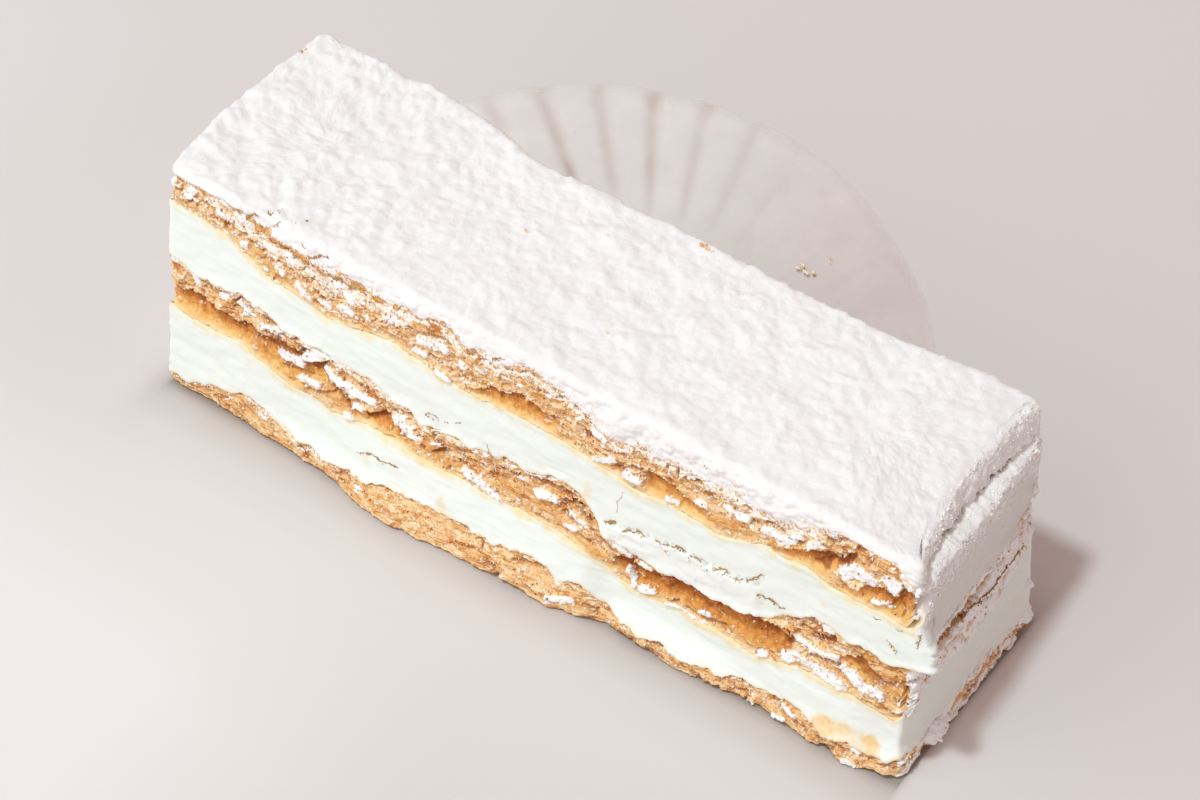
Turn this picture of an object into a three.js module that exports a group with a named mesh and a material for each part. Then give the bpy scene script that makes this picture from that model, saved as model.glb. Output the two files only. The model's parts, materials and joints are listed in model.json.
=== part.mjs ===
// Mille feuille slice on its flattened paper case.
// Millimetres, +Z up. X runs along the slice, -Y is the long cut side, and the
// origin is the middle of the slice's footprint, on the surface it stands on.
import * as THREE from "three";

// ---------------------------------------------------------------- dimensions
const HEIGHT = 43.6; // top of the icing sugar above the table
const GAP = 0.3; // clearance between two touching layers
const MIN_LAYER = 0.9; // thinnest a layer gets

// Plan corners of the slice at the table and at the top of the sugar:
// left front, right front, left back, right back.
const FOOT = { lf: [-65.2, -18.3], rf: [65.2, -17.1], lb: [-65.0, 17.4], rb: [65.2, 16.8] };
const CROWN = { lf: [-63.0, -16.0], rf: [64.8, -17.8], lb: [-63.4, 17.8], rb: [61.4, 16.6] };

// Height of each layer's upper face along the long cut side, at evenly spaced
// stations from the left end to the right end.
const FRONT = {
  bottom: [1.8, 4.3, 3.0, 3.7, 5.3, 5.8, 4.7, 1.9, 2.9, 3.6, 3.5],
  creamLow: [15.8, 15.3, 12.4, 13.0, 13.0, 13.1, 11.5, 9.1, 9.5, 11.8, 10.9],
  middle: [25.1, 24.6, 22.7, 21.5, 19.4, 21.0, 20.4, 17.6, 19.1, 22.2, 23.0],
  creamUp: [36.1, 34.3, 30.6, 31.2, 30.2, 30.4, 29.7, 29.2, 30.6, 30.8, 30.9],
  top: [41.2, 39.6, 37.8, 37.8, 37.7, 38.5, 36.2, 36.5, 36.9, 39.0, 38.6],
};
// The same faces across the right end, from the front to the back.
const END = {
  bottom: [3.5, 4.0, 4.2, 4.0, 3.8],
  creamLow: [10.9, 12.0, 12.4, 12.2, 12.0],
  middle: [23.0, 20.4, 19.6, 20.2, 20.6],
  creamUp: [30.9, 33.4, 32.4, 31.6, 31.2],
  top: [38.6, 40.2, 40.4, 39.6, 38.0],
};
// Mean heights along the back, and how much they wander.
const BACK = { bottom: 4.4, creamLow: 12.6, middle: 20.8, creamUp: 30.6, top: 38.6 };
const BACK_WANDER = 1.0;
const TOP_INSIDE = 41.2; // top pastry under the sugar, away from the rim
const RIM_WIDTH = 4.0; // how far in the sugar's draped rim reaches

const SUGAR_ROLL = 2.2; // how far the top rounds down at its rim
const SUGAR_LUMP = 0.5; // relief of the sugar
const FLAKE_RELIEF = 0.7; // in and out of the pastry's edge
const CREAM_BULGE = 0.7; // how far cream swells past the pastry
const CORNER = 1.1; // how far the upright corners are worn in
const BULGES = [ // forward bulges of the front foot: from, to, amount
  [-36, -22, 12, 17, 2.2],
  [34, 50, 55, 63, 1.3],
];

// Paper case, pressed flat, larger than the slice is wide
const PAPER = 0.4; // thickness as a solid
const PAPER_GAP = 0.35; // pastry above it
const RIM_CENTRE = [-24, 33];
const RIM_RADIUS = 50.0;
const RIM_SWELLS = [[126, 30, 2.4], [16, 30, 5.2], [76, 20, -0.8]]; // degrees, width, mm
const BASE_CENTRE = [-14, 28];
const BASE_RADIUS = 21;
const FLUTES = 34;
const FLUTE_DEPTH = 1.1;
const RIM_LIFT = 1.6;

// ------------------------------------------------------------------- helpers
const clamp01 = (x) => Math.min(1, Math.max(0, x));
const lerp = (a, b, t) => a + (b - a) * t;
const smooth = (a, b, x) => {
  const t = clamp01((x - a) / (b - a));
  return t * t * (3 - 2 * t);
};
// Smooth curve through evenly spaced values, u from 0 to 1.
function stations(values, u) {
  const n = values.length - 1,
    f = clamp01(u) * n,
    i = Math.min(n - 1, Math.floor(f)),
    t = f - i;
  const at = (k) => values[Math.min(n, Math.max(0, k))];
  const m0 = (at(i + 1) - at(i - 1)) / 2,
    m1 = (at(i + 2) - at(i)) / 2,
    t2 = t * t,
    t3 = t2 * t;
  return (
    (2 * t3 - 3 * t2 + 1) * at(i) + (t3 - 2 * t2 + t) * m0 + (3 * t2 - 2 * t3) * at(i + 1) + (t3 - t2) * m1
  );
}
// Gentle repeatable unevenness, about -1 to 1.
function uneven(x, y, seed) {
  return (
    0.5 * Math.sin(0.31 * x + 1.7 * seed + 0.6 * Math.sin(0.23 * y + seed)) +
    0.3 * Math.sin(0.83 * x - 0.47 * y + 2.9 * seed) +
    0.2 * Math.sin(1.61 * x + 1.13 * y + 4.1 * seed)
  );
}

// Plan position at the fractions u (left to right) and v (front to back), at height z.
function plan(u, v, z) {
  const corner = (c) => [
    lerp(lerp(c.lf[0], c.rf[0], u), lerp(c.lb[0], c.rb[0], u), v),
    lerp(lerp(c.lf[1], c.rf[1], u), lerp(c.lb[1], c.rb[1], u), v),
  ];
  const a = corner(FOOT),
    b = corner(CROWN),
    h = clamp01(z / HEIGHT);
  let x = lerp(a[0], b[0], h),
    y = lerp(a[1], b[1], h);
  for (const [a0, a1, b0, b1, amount] of BULGES)
    y -= amount * smooth(a0, a1, x) * (1 - smooth(b0, b1, x)) * (1 - smooth(0, 0.5, h)) * (1 - v);
  const worn = CORNER * clamp01(1 - Math.min(u, 1 - u) / 0.018) * clamp01(1 - Math.min(v, 1 - v) / 0.07);
  x += u < 0.5 ? worn : -worn;
  y += v < 0.5 ? worn : -worn;
  return [x, y];
}

// Height of a layer's upper face.
function face(name, u, v) {
  const wander = BACK_WANDER * uneven(u * 128, 40, name.length * 1.3);
  let z = lerp(stations(FRONT[name], u), BACK[name] + wander, smooth(0.05, 0.85, v));
  z = lerp(z, stations(END[name], v), smooth(0.88, 1, u));
  if (name === "top") {
    const rim = Math.min(u * 128, (1 - u) * 128, v * 34.5, (1 - v) * 34.5);
    z = lerp(z, Math.max(z, TOP_INSIDE), smooth(0, RIM_WIDTH, rim));
  }
  return z;
}
function crown(u, v) {
  const rim = Math.min(u * 128, (1 - u) * 128, v * 34.5, (1 - v) * 34.5);
  const roll = SUGAR_ROLL * Math.pow(1 - smooth(0, 4.2, rim), 2);
  return HEIGHT - 0.5 - roll + SUGAR_LUMP * uneven(u * 128 * 1.3, v * 34 * 1.6, 7);
}
// The foot lies on the table, and a little higher where paper is under it.
function foot(u, v) {
  const [x, y] = plan(u, v, 0);
  const r = Math.hypot(x - RIM_CENTRE[0], y - RIM_CENTRE[1]);
  return r < RIM_RADIUS + 11 ? PAPER + PAPER_GAP : 0;
}

// -------------------------------------------------------------- layer solids
// Fractions along and across, closer together at the cut sides.
const ALONG = [0, 0.018];
for (let i = 1; i < 28; i++) ALONG.push(lerp(0.018, 0.982, i / 28));
ALONG.push(0.982, 1);
const ACROSS = [0, 0.07, 0.22, 0.41, 0.59, 0.78, 0.93, 1];
const NU = ALONG.length - 1,
  NV = ACROSS.length - 1;

// Walk round the grid's edge, counter-clockwise from above, with outward directions.
const EDGE = [];
for (let i = 0; i < NU; i++) EDGE.push([i, 0, 0, -1]);
for (let j = 0; j < NV; j++) EDGE.push([NU, j, 1, 0]);
for (let i = NU; i > 0; i--) EDGE.push([i, NV, 0, 1]);
for (let j = NV; j > 0; j--) EDGE.push([0, j, -1, 0]);

// A layer between two height functions. push(row fraction, x, y) moves its side outwards.
function layer(name, low, high, rows, push, material) {
  const v = [],
    faces = [];
  const put = (x, y, z) => v.push(x, y, z) / 3 - 1;
  const grid = (height, side) => {
    const id = [];
    for (let i = 0; i <= NU; i++) {
      id.push([]);
      for (let j = 0; j <= NV; j++) {
        const z = height(ALONG[i], ACROSS[j]);
        const onEdge = i === 0 || j === 0 || i === NU || j === NV;
        let [x, y] = plan(ALONG[i], ACROSS[j], z);
        if (onEdge) {
          const p = push(side, x, y);
          if (i === 0) x -= p;
          if (i === NU) x += p;
          if (j === 0) y -= p;
          if (j === NV) y += p;
        }
        id[i].push(put(x, y, z));
      }
    }
    return id;
  };
  const bottom = grid(low, 0),
    top = grid(high, 1);
  for (let i = 0; i < NU; i++)
    for (let j = 0; j < NV; j++) {
      const quad = (g) => [g[i][j], g[i + 1][j], g[i + 1][j + 1], g[i][j + 1]];
      const [a, b, c, d] = quad(top);
      faces.push(a, b, c, a, c, d);
      const [e, f, g, h] = quad(bottom);
      faces.push(e, g, f, e, h, g);
    }
  let below = EDGE.map(([i, j]) => bottom[i][j]);
  for (let r = 1; r <= rows; r++) {
    const above = EDGE.map(([i, j, nx, ny]) => {
      if (r === rows) return top[i][j];
      const t = r / rows,
        u = ALONG[i],
        w = ACROSS[j],
        z = lerp(low(u, w), high(u, w), t);
      let [x, y] = plan(u, w, z);
      const p = push(t, x, y);
      const corner = (i === 0 || i === NU) && (j === 0 || j === NV);
      x += corner ? (i === 0 ? -p : p) : nx * p;
      y += corner ? (j === 0 ? -p : p) : ny * p;
      return put(x, y, z);
    });
    for (let k = 0; k < EDGE.length; k++) {
      const n = (k + 1) % EDGE.length;
      faces.push(below[k], below[n], above[n], below[k], above[n], above[k]);
    }
    below = above;
  }
  const geometry = new THREE.BufferGeometry();
  geometry.setAttribute("position", new THREE.Float32BufferAttribute(v, 3));
  geometry.setIndex(faces);
  geometry.computeVertexNormals();
  const mesh = new THREE.Mesh(geometry, material);
  mesh.name = name;
  return mesh;
}

const under = (name) => (u, v) => face(name, u, v) - GAP / 2;
const over = (name) => (u, v) => face(name, u, v) + GAP / 2;
const flaky = (seed) => (t, x, y) =>
  -0.5 + FLAKE_RELIEF * (0.6 * Math.cos(Math.PI * 3 * t) + 0.9 * uneven(x * 1.7 + y, t * 9, seed));
const creamy = (seed) => (t, x, y) =>
  -0.3 + CREAM_BULGE * Math.sin(Math.PI * t) + 0.25 * uneven(x * 0.8 + y, t * 3, seed);
const powdery = (t, x, y) => -0.4 + 0.7 * Math.sin(Math.PI * t) + 0.3 * uneven(x * 1.9 + y, t * 5, 5);

const pastry = (color) => new THREE.MeshStandardMaterial({ color, roughness: 0.75, metalness: 0 });
const slice = new THREE.Group();

slice.add(
  layer(
    "pastry_bottom",
    foot,
    (u, v) => Math.max(foot(u, v) + MIN_LAYER, face("bottom", u, v) - GAP / 2),
    3,
    (t, x, y) => (t === 0 ? -0.8 : flaky(1)(t, x, y)),
    pastry(0xd9b078),
  ),
  layer(
    "cream_lower",
    (u, v) => Math.max(foot(u, v) + MIN_LAYER + GAP, face("bottom", u, v) + GAP / 2),
    under("creamLow"),
    2,
    creamy(2),
    new THREE.MeshStandardMaterial({ color: 0xf6f6ee, roughness: 0.45, metalness: 0 }),
  ),
  layer("pastry_middle", over("creamLow"), under("middle"), 3, flaky(3), pastry(0xc98f4f)),
  layer(
    "cream_upper",
    over("middle"),
    under("creamUp"),
    2,
    creamy(4),
    new THREE.MeshStandardMaterial({ color: 0xf6f6ee, roughness: 0.45, metalness: 0 }),
  ),
  layer("pastry_top", over("creamUp"), under("top"), 3, flaky(6), pastry(0xd6a062)),
  layer(
    "icing_sugar",
    over("top"),
    crown,
    2,
    powdery,
    new THREE.MeshStandardMaterial({ color: 0xfbfafa, roughness: 0.95, metalness: 0 }),
  ),
);

// ---------------------------------------------------------------- paper case
function rimRadius(degrees) {
  let r = RIM_RADIUS;
  for (const [at, width, amount] of RIM_SWELLS) {
    const d = ((degrees - at + 540) % 360) - 180;
    r += amount * Math.exp(-((d / width) ** 2));
  }
  return r;
}
// How far a plan point is outside the slice's footprint.
function outside(x, y) {
  return Math.hypot(Math.max(0, Math.abs(x) - 66), Math.max(0, Math.abs(y) - 19));
}
function paperCase() {
  const v = [],
    faces = [];
  const put = (x, y, z) => v.push(x, y, z) / 3 - 1;
  const SPOTS = [0, 0.2, 0.8]; // groove, shoulder, shoulder
  const BANDS = 3;
  const rings = []; // rings[band][k] = [under, over]
  for (let b = 0; b <= BANDS; b++) {
    const ring = [];
    for (let f = 0; f < FLUTES; f++)
      for (const [s, spot] of SPOTS.entries()) {
        const degrees = ((f + spot) * 360) / FLUTES,
          a = (degrees * Math.PI) / 180,
          rr = rimRadius(degrees),
          t = b / BANDS;
        const x = lerp(BASE_CENTRE[0] + BASE_RADIUS * Math.cos(a), RIM_CENTRE[0] + rr * Math.cos(a), t),
          y = lerp(BASE_CENTRE[1] + BASE_RADIUS * Math.sin(a), RIM_CENTRE[1] + rr * Math.sin(a), t);
        const free = smooth(5, 24, outside(x, y)) * t;
        const z = free * (RIM_LIFT * t + (s === 0 ? 0 : FLUTE_DEPTH));
        ring.push([put(x, y, z), put(x, y, z + PAPER)]);
      }
    rings.push(ring);
  }
  const N = rings[0].length;
  const mid = [put(BASE_CENTRE[0], BASE_CENTRE[1], 0), put(BASE_CENTRE[0], BASE_CENTRE[1], PAPER)];
  for (let k = 0; k < N; k++) {
    const n = (k + 1) % N;
    faces.push(mid[1], rings[0][k][1], rings[0][n][1], mid[0], rings[0][n][0], rings[0][k][0]);
    for (let b = 0; b < BANDS; b++) {
      const p = rings[b],
        q = rings[b + 1];
      faces.push(p[k][1], q[k][1], q[n][1], p[k][1], q[n][1], p[n][1]);
      faces.push(p[k][0], q[n][0], q[k][0], p[k][0], p[n][0], q[n][0]);
    }
    const e = rings[BANDS];
    faces.push(e[k][0], e[n][0], e[n][1], e[k][0], e[n][1], e[k][1]);
  }
  const geometry = new THREE.BufferGeometry();
  geometry.setAttribute("position", new THREE.Float32BufferAttribute(v, 3));
  geometry.setIndex(faces);
  geometry.computeVertexNormals();
  const mesh = new THREE.Mesh(
    geometry,
    new THREE.MeshStandardMaterial({ color: 0xe4dcd8, roughness: 0.5, metalness: 0 }),
  );
  mesh.name = "paper_case";
  return mesh;
}
slice.add(paperCase());

export default slice;
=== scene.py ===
import json
import math

import bpy
import numpy as np
from mathutils import Matrix, Vector

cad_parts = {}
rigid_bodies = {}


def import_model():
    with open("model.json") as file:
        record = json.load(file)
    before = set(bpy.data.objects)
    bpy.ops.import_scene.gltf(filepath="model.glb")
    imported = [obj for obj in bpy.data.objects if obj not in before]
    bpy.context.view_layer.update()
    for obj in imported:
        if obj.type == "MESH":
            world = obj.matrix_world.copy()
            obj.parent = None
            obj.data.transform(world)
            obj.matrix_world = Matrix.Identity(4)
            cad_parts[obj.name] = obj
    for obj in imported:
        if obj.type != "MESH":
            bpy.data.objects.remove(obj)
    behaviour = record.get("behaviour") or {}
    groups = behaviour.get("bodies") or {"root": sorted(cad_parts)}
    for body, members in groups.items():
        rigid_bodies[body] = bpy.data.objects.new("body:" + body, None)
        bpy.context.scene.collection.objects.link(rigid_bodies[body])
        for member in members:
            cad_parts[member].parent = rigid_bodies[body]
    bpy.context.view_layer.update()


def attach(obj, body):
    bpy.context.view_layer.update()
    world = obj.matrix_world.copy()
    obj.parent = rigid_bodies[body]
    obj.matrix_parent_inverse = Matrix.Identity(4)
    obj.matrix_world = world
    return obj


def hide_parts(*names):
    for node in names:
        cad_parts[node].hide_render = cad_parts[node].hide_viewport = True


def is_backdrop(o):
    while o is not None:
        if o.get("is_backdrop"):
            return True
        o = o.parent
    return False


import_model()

MM = 0.001
rng = np.random.default_rng(20261124)

# ----------------------------------------------------------------- the camera
# A long lens, looking down about 45 degrees at the long cut side and the right end.
RIGHT = Vector((0.8135688, 0.5811468, 0.0193451))
UP = Vector((-0.4265158, 0.5738219, 0.6991515))
BACK = Vector((0.3952090, -0.5770588, 0.7147118))
cam_data = bpy.data.cameras.new("camera")
cam_data.lens = 100.0
cam_data.sensor_width = 36.0
cam_data.clip_start = 0.01
cam = bpy.data.objects.new("camera", cam_data)
bpy.context.scene.collection.objects.link(cam)
m = Matrix.Identity(4)
for r in range(3):
    m[r][0], m[r][1], m[r][2] = RIGHT[r], UP[r], BACK[r]
m[0][3], m[1][3], m[2][3] = 0.1896935, -0.2743899, 0.3607728
cam.matrix_world = m
bpy.context.scene.camera = cam


# ---------------------------------------------------------------------- noise
def _bits(ix, iy, iz, seed):
    h = (
        ix.astype(np.int64).astype(np.uint32) * np.uint32(0x8DA6B343)
        ^ iy.astype(np.int64).astype(np.uint32) * np.uint32(0xD8163841)
        ^ iz.astype(np.int64).astype(np.uint32) * np.uint32(0xCB1AB31F)
        ^ np.uint32((seed * 0x9E3779B9) & 0xFFFFFFFF)
    )
    h ^= h >> np.uint32(16)
    h *= np.uint32(0x7FEB352D)
    h ^= h >> np.uint32(15)
    h *= np.uint32(0x846CA68B)
    h ^= h >> np.uint32(16)
    return h


def perlin(x, y, z, seed=0):
    """Gradient noise, about -1 to 1."""
    x, y, z = np.broadcast_arrays(np.asarray(x, np.float32), np.asarray(y, np.float32), np.asarray(z, np.float32))
    fx, fy, fz = np.floor(x), np.floor(y), np.floor(z)
    dx, dy, dz = x - fx, y - fy, z - fz
    ux, uy, uz = (t * t * t * (t * (t * 6 - 15) + 10) for t in (dx, dy, dz))
    total = np.zeros(x.shape, np.float32)
    for i in (0, 1):
        wx = ux if i else 1 - ux
        for j in (0, 1):
            wy = uy if j else 1 - uy
            for k in (0, 1):
                wz = uz if k else 1 - uz
                h = _bits(fx + i, fy + j, fz + k, seed)
                gx = (h & np.uint32(1023)).astype(np.float32) / 511.5 - 1
                gy = ((h >> np.uint32(10)) & np.uint32(1023)).astype(np.float32) / 511.5 - 1
                gz = ((h >> np.uint32(20)) & np.uint32(1023)).astype(np.float32) / 511.5 - 1
                total += wx * wy * wz * (gx * (dx - i) + gy * (dy - j) + gz * (dz - k))
    return total * 1.6


def fbm(x, y, z, octaves=3, gain=0.5, seed=0):
    total, amp, s, norm = 0, 1.0, 1.0, 0.0
    for o in range(octaves):
        total = total + amp * perlin(x * s + 17.3 * o, y * s - 9.1 * o, z * s + 4.7 * o, seed + o)
        norm += amp
        amp *= gain
        s *= 2.03
    return total / norm


def worley(x, y, z, seed=0):
    """Distance to the nearest and second nearest of one random point a cell, and the nearest one's random number."""
    x, y, z = np.broadcast_arrays(np.asarray(x, np.float32), np.asarray(y, np.float32), np.asarray(z, np.float32))
    fx, fy, fz = np.floor(x), np.floor(y), np.floor(z)
    f1 = np.full(x.shape, 9.0, np.float32)
    f2 = np.full(x.shape, 9.0, np.float32)
    who = np.zeros(x.shape, np.float32)
    for i in (-1, 0, 1):
        for j in (-1, 0, 1):
            for k in (-1, 0, 1):
                h = _bits(fx + i, fy + j, fz + k, seed)
                px = fx + i + (h & np.uint32(1023)).astype(np.float32) / 1023
                py = fy + j + ((h >> np.uint32(10)) & np.uint32(1023)).astype(np.float32) / 1023
                pz = fz + k + ((h >> np.uint32(20)) & np.uint32(1023)).astype(np.float32) / 1023
                d = np.sqrt((px - x) ** 2 + (py - y) ** 2 + (pz - z) ** 2)
                closer = d < f1
                f2 = np.where(closer, f1, np.minimum(f2, d))
                who = np.where(closer, ((h >> np.uint32(7)) & np.uint32(255)).astype(np.float32) / 255, who)
                f1 = np.where(closer, d, f1)
    return f1, f2, who


def smooth(a, b, x):
    t = np.clip((x - a) / (b - a), 0, 1)
    return t * t * (3 - 2 * t)


def lumps(x, y, z, size, seed):
    """Round bumps of about that size, 0 between them and 1 on top."""
    f1, f2, who = worley(x / size, y / size, z / size, seed)
    return np.clip(1 - (f1 / 0.8) ** 2, 0, 1) * (0.5 + 0.5 * who)


def mounds(x, y, z, size, seed):
    """Soft rolling bumps of about that size, roughly 0 to 1."""
    x, y, z = np.broadcast_arrays(*(np.asarray(v, np.float32) / size for v in (x, y, z)))
    fx, fy, fz = np.floor(x), np.floor(y), np.floor(z)
    total = np.zeros(x.shape, np.float32)
    for i in (-1, 0, 1):
        for j in (-1, 0, 1):
            for k in (-1, 0, 1):
                h = _bits(fx + i, fy + j, fz + k, seed)
                px = fx + i + (h & np.uint32(1023)).astype(np.float32) / 1023
                py = fy + j + ((h >> np.uint32(10)) & np.uint32(1023)).astype(np.float32) / 1023
                pz = fz + k + ((h >> np.uint32(20)) & np.uint32(1023)).astype(np.float32) / 1023
                total += np.exp(-((px - x) ** 2 + (py - y) ** 2 + (pz - z) ** 2) / 0.13) * (0.4 + 0.6 * ((h >> np.uint32(5)) & np.uint32(255)).astype(np.float32) / 255)
    return np.clip(1 - np.exp(-1.6 * total), 0, 1)


def stroke_field(s, z, lines, seed, rag=0.35):
    """How much the points s, z lie on any of the lines (width, strength, points), with torn edges."""
    s = np.broadcast_to(s, z.shape)
    out = np.zeros(z.shape, np.float32)
    torn = 1 + rag * (perlin(s / 0.9, z / 0.5, 0.5, seed) + 0.8 * perlin(s / 0.4, z / 0.25, 1.5, seed + 1))
    for width, strength, points in lines:
        p = np.array(points, np.float32)
        reach = width * 0.9 + 0.4
        near = (s > p[:, 0].min() - reach) & (s < p[:, 0].max() + reach) & (z > p[:, 1].min() - reach) & (z < p[:, 1].max() + reach)
        if not near.any():
            continue
        a, b = s[near], z[near]
        q = np.full(a.shape, 9.0, np.float32)
        for (x0, z0), (x1, z1) in zip(p[:-1], p[1:]):
            t = np.clip(((a - x0) * (x1 - x0) + (b - z0) * (z1 - z0)) / max((x1 - x0) ** 2 + (z1 - z0) ** 2, 1e-6), 0, 1)
            q = np.minimum(q, np.hypot(a - x0 - t * (x1 - x0), b - z0 - t * (z1 - z0)))
        q = q / (width * 0.5) * torn[near]
        out[near] = np.maximum(out[near], strength * (1 - smooth(0.55, 1.3, q)))
    return out


# ------------------------------------------------------------- slice, in plan
HEIGHT = 43.6
HX, HY, CORNER = 64.0, 17.0, 1.6  # nominal half length, half width, corner radius
FOOT = dict(lf=(-65.2, -18.3), rf=(65.2, -17.1), lb=(-65.0, 17.4), rb=(65.2, 16.8))
CROWN = dict(lf=(-63.0, -16.0), rf=(64.8, -17.8), lb=(-63.4, 17.8), rb=(61.4, 16.6))
BULGES = [(-36, -22, 12, 17, 2.2), (34, 50, 55, 63, 1.3)]
BACK_EDGE = [(-64, 3.2), (-54, 2.6), (-42, 3.0), (-31, 1.7), (-24, -0.3), (-19, -1.1), (-9, -0.4), (-2, -0.6), (2, 0.2), (8, -0.4), (16, -0.3), (26, -0.4), (36, -0.2), (46, 0.7), (51, 1.3), (62, 1.6)]
FOOT_OUT = [(-66, 0), (-58, 0.3), (-50, 0.4), (-46, 1.2), (-40, 1.6), (-35, 2.1), (-27, 2.4), (-19, 2.5), (-13, 1.9), (-7, 1.6), (0, 1.9), (8, 1.6), (10, 0.9), (13, 0.9), (17, 1.4), (21, 2.6), (30, 2.4), (35.5, 2.3), (39, 1.1), (43, 0.5), (50, 1.0), (55, 1.6), (60, 1.7), (63, 2.2), (65, 1.2)]


def through(points, x):
    p = np.array(points, np.float32)
    return np.interp(x, p[:, 0], p[:, 1]).astype(np.float32)


def plan(X, Y, z):
    """Where the nominal plan point X, Y is at height z: the slice leans and bulges a little."""
    u, v = (X + HX) / (2 * HX), (Y + HY) / (2 * HY)
    h = np.clip(z / HEIGHT, 0, 1)
    out = []
    for i in (0, 1):
        ends = []
        for c in (FOOT, CROWN):
            front = c["lf"][i] + (c["rf"][i] - c["lf"][i]) * u
            back = c["lb"][i] + (c["rb"][i] - c["lb"][i]) * u
            ends.append(front + (back - front) * v)
        out.append(ends[0] + (ends[1] - ends[0]) * h)
    x, y = out
    for a0, a1, b0, b1, amount in BULGES:
        y = y - amount * smooth(a0, a1, x) * (1 - smooth(b0, b1, x)) * (1 - smooth(0, 0.5, h)) * np.clip(1 - v, 0, 1.1)
    y = y + through(BACK_EDGE, x) * smooth(0.5, 1.0, v) * smooth(0.3, 0.95, h)
    y = y - through(FOOT_OUT, x) * (1 - smooth(0.0, 0.14, h)) * np.clip(1 - v, 0, 1)
    x = x - (1.1 * np.sin(np.pi * np.clip(v, 0, 1)) + 1.0 * np.clip(v, 0, 1)) * smooth(0.12, 0.0, u) * smooth(0.4, 1.0, h)
    return x, y


def outline(front, end, back, left, arc=4, r=CORNER):
    """Columns round the slice, counter-clockwise from the left front corner: nominal X, Y, outward direction and face."""
    X, Y, NX, NY, F = [], [], [], [], []

    def run(x0, y0, x1, y1, n, nx, ny, face):
        for t in np.arange(n) / n:
            X.append(x0 + (x1 - x0) * t); Y.append(y0 + (y1 - y0) * t); NX.append(nx); NY.append(ny); F.append(face)

    def turn(cx, cy, a0, f0, f1):
        for t in np.arange(arc) / arc:
            a = a0 + t * math.pi / 2
            X.append(cx + r * math.cos(a)); Y.append(cy + r * math.sin(a)); NX.append(math.cos(a)); NY.append(math.sin(a))
            F.append(f0 if t < 0.5 else f1)

    run(-HX + r, -HY, HX - r, -HY, front, 0, -1, 0)
    turn(HX - r, -HY + r, -math.pi / 2, 0, 1)
    run(HX, -HY + r, HX, HY - r, end, 1, 0, 1)
    turn(HX - r, HY - r, 0, 1, 2)
    run(HX - r, HY, -HX + r, HY, back, 0, 1, 2)
    turn(-HX + r, HY - r, math.pi / 2, 2, 3)
    run(-HX, HY - r, -HX, -HY + r, left, -1, 0, 3)
    turn(-HX + r, -HY + r, math.pi, 3, 0)
    return [np.array(v, np.float32) for v in (X, Y, NX, NY, F)]


# Features are placed by a run along the outline: x on the front, 1000 + y on the right end, 2000 + x on the back, 3000 + y on the left.
def along(x, y, face):
    return np.where(face == 0, x, np.where(face == 1, 1000 + y, np.where(face == 2, 2000 + x, 3000 + y)))


# Heights of the boundaries between layers, where they meet the long cut side (x, z) ...
SUGAR_FRONT = [(-64, 42.2), (-55.8, 41.4), (-51.1, 40.6), (-46.6, 38.4), (-41.4, 38.4), (-34.1, 37.0), (-22.7, 38.2), (-18.6, 38.2), (-15.6, 39.4), (-13.6, 39.6), (-11.6, 38.0), (-9.8, 37.0), (-7.0, 37.4), (-4.8, 37.4), (1.3, 39.6), (5.4, 38.7), (9.4, 37.3), (13.3, 35.1), (15.9, 34.4), (18.8, 36.5), (22.7, 36.2), (30.1, 36.9), (33.8, 37.2), (38.4, 36.9), (42.0, 36.3), (45.6, 37.3), (49.9, 39.3), (53.3, 41.0), (56.7, 40.7), (60.0, 41.3), (61.8, 38.5), (65, 37.6)]
CREAM_UP_FRONT = [(-64, 36.2), (-57.4, 35.9), (-52.0, 35.2), (-48.1, 32.9), (-45.8, 31.6), (-40.1, 31.0), (-34.5, 29.6), (-28.5, 30.8), (-22.8, 31.9), (-17.4, 30.9), (-11.0, 29.8), (-4.7, 30.0), (1.4, 30.7), (6.5, 30.5), (13.3, 29.7), (18.7, 28.7), (22.6, 29.2), (30.1, 29.3), (33.8, 28.8), (37.5, 30.4), (40.2, 31.7), (43.0, 31.1), (46.6, 31.8), (50.2, 30.6), (54.5, 30.4), (58.7, 30.5), (62.0, 30.2), (65, 31.4)]
MIDDLE_FRONT = [(-65.4, 25.7), (-57.0, 24.2), (-49.8, 25.1), (-44.0, 23.8), (-38.3, 22.4), (-33.1, 22.3), (-25.2, 21.8), (-19.1, 19.9), (-17.4, 18.9), (-12.1, 19.7), (-1.6, 20.7), (3.5, 21.4), (7.5, 23.0), (11.5, 21.4), (13.4, 19.2), (15.5, 17.4), (19.0, 16.3), (22.5, 15.7), (26.0, 16.0), (31.9, 16.3), (38.0, 16.5), (41.0, 17.4), (44.9, 20.8), (48.6, 22.6), (52.1, 22.3), (53.9, 21.4), (57.3, 22.0), (60.5, 21.8), (63.0, 23.2), (65.5, 23.8)]
CREAM_LOW_FRONT = [(-64.8, 15.6), (-57.6, 15.0), (-50.3, 15.3), (-40.6, 12.2), (-35.4, 12.6), (-33.1, 11.9), (-26.5, 13.3), (-20.7, 13.4), (-15.3, 12.8), (-9.9, 13.2), (-5.7, 12.7), (1.5, 13.4), (8.7, 12.8), (13.4, 11.7), (17.4, 9.3), (22.3, 8.7), (27.1, 10.2), (31.9, 9.2), (33.7, 9.6), (39.4, 8.9), (43.2, 10.4), (47.0, 11.9), (52.5, 12.0), (55.9, 12.0), (59.2, 10.9), (62.4, 10.4), (65, 11.4)]
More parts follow.
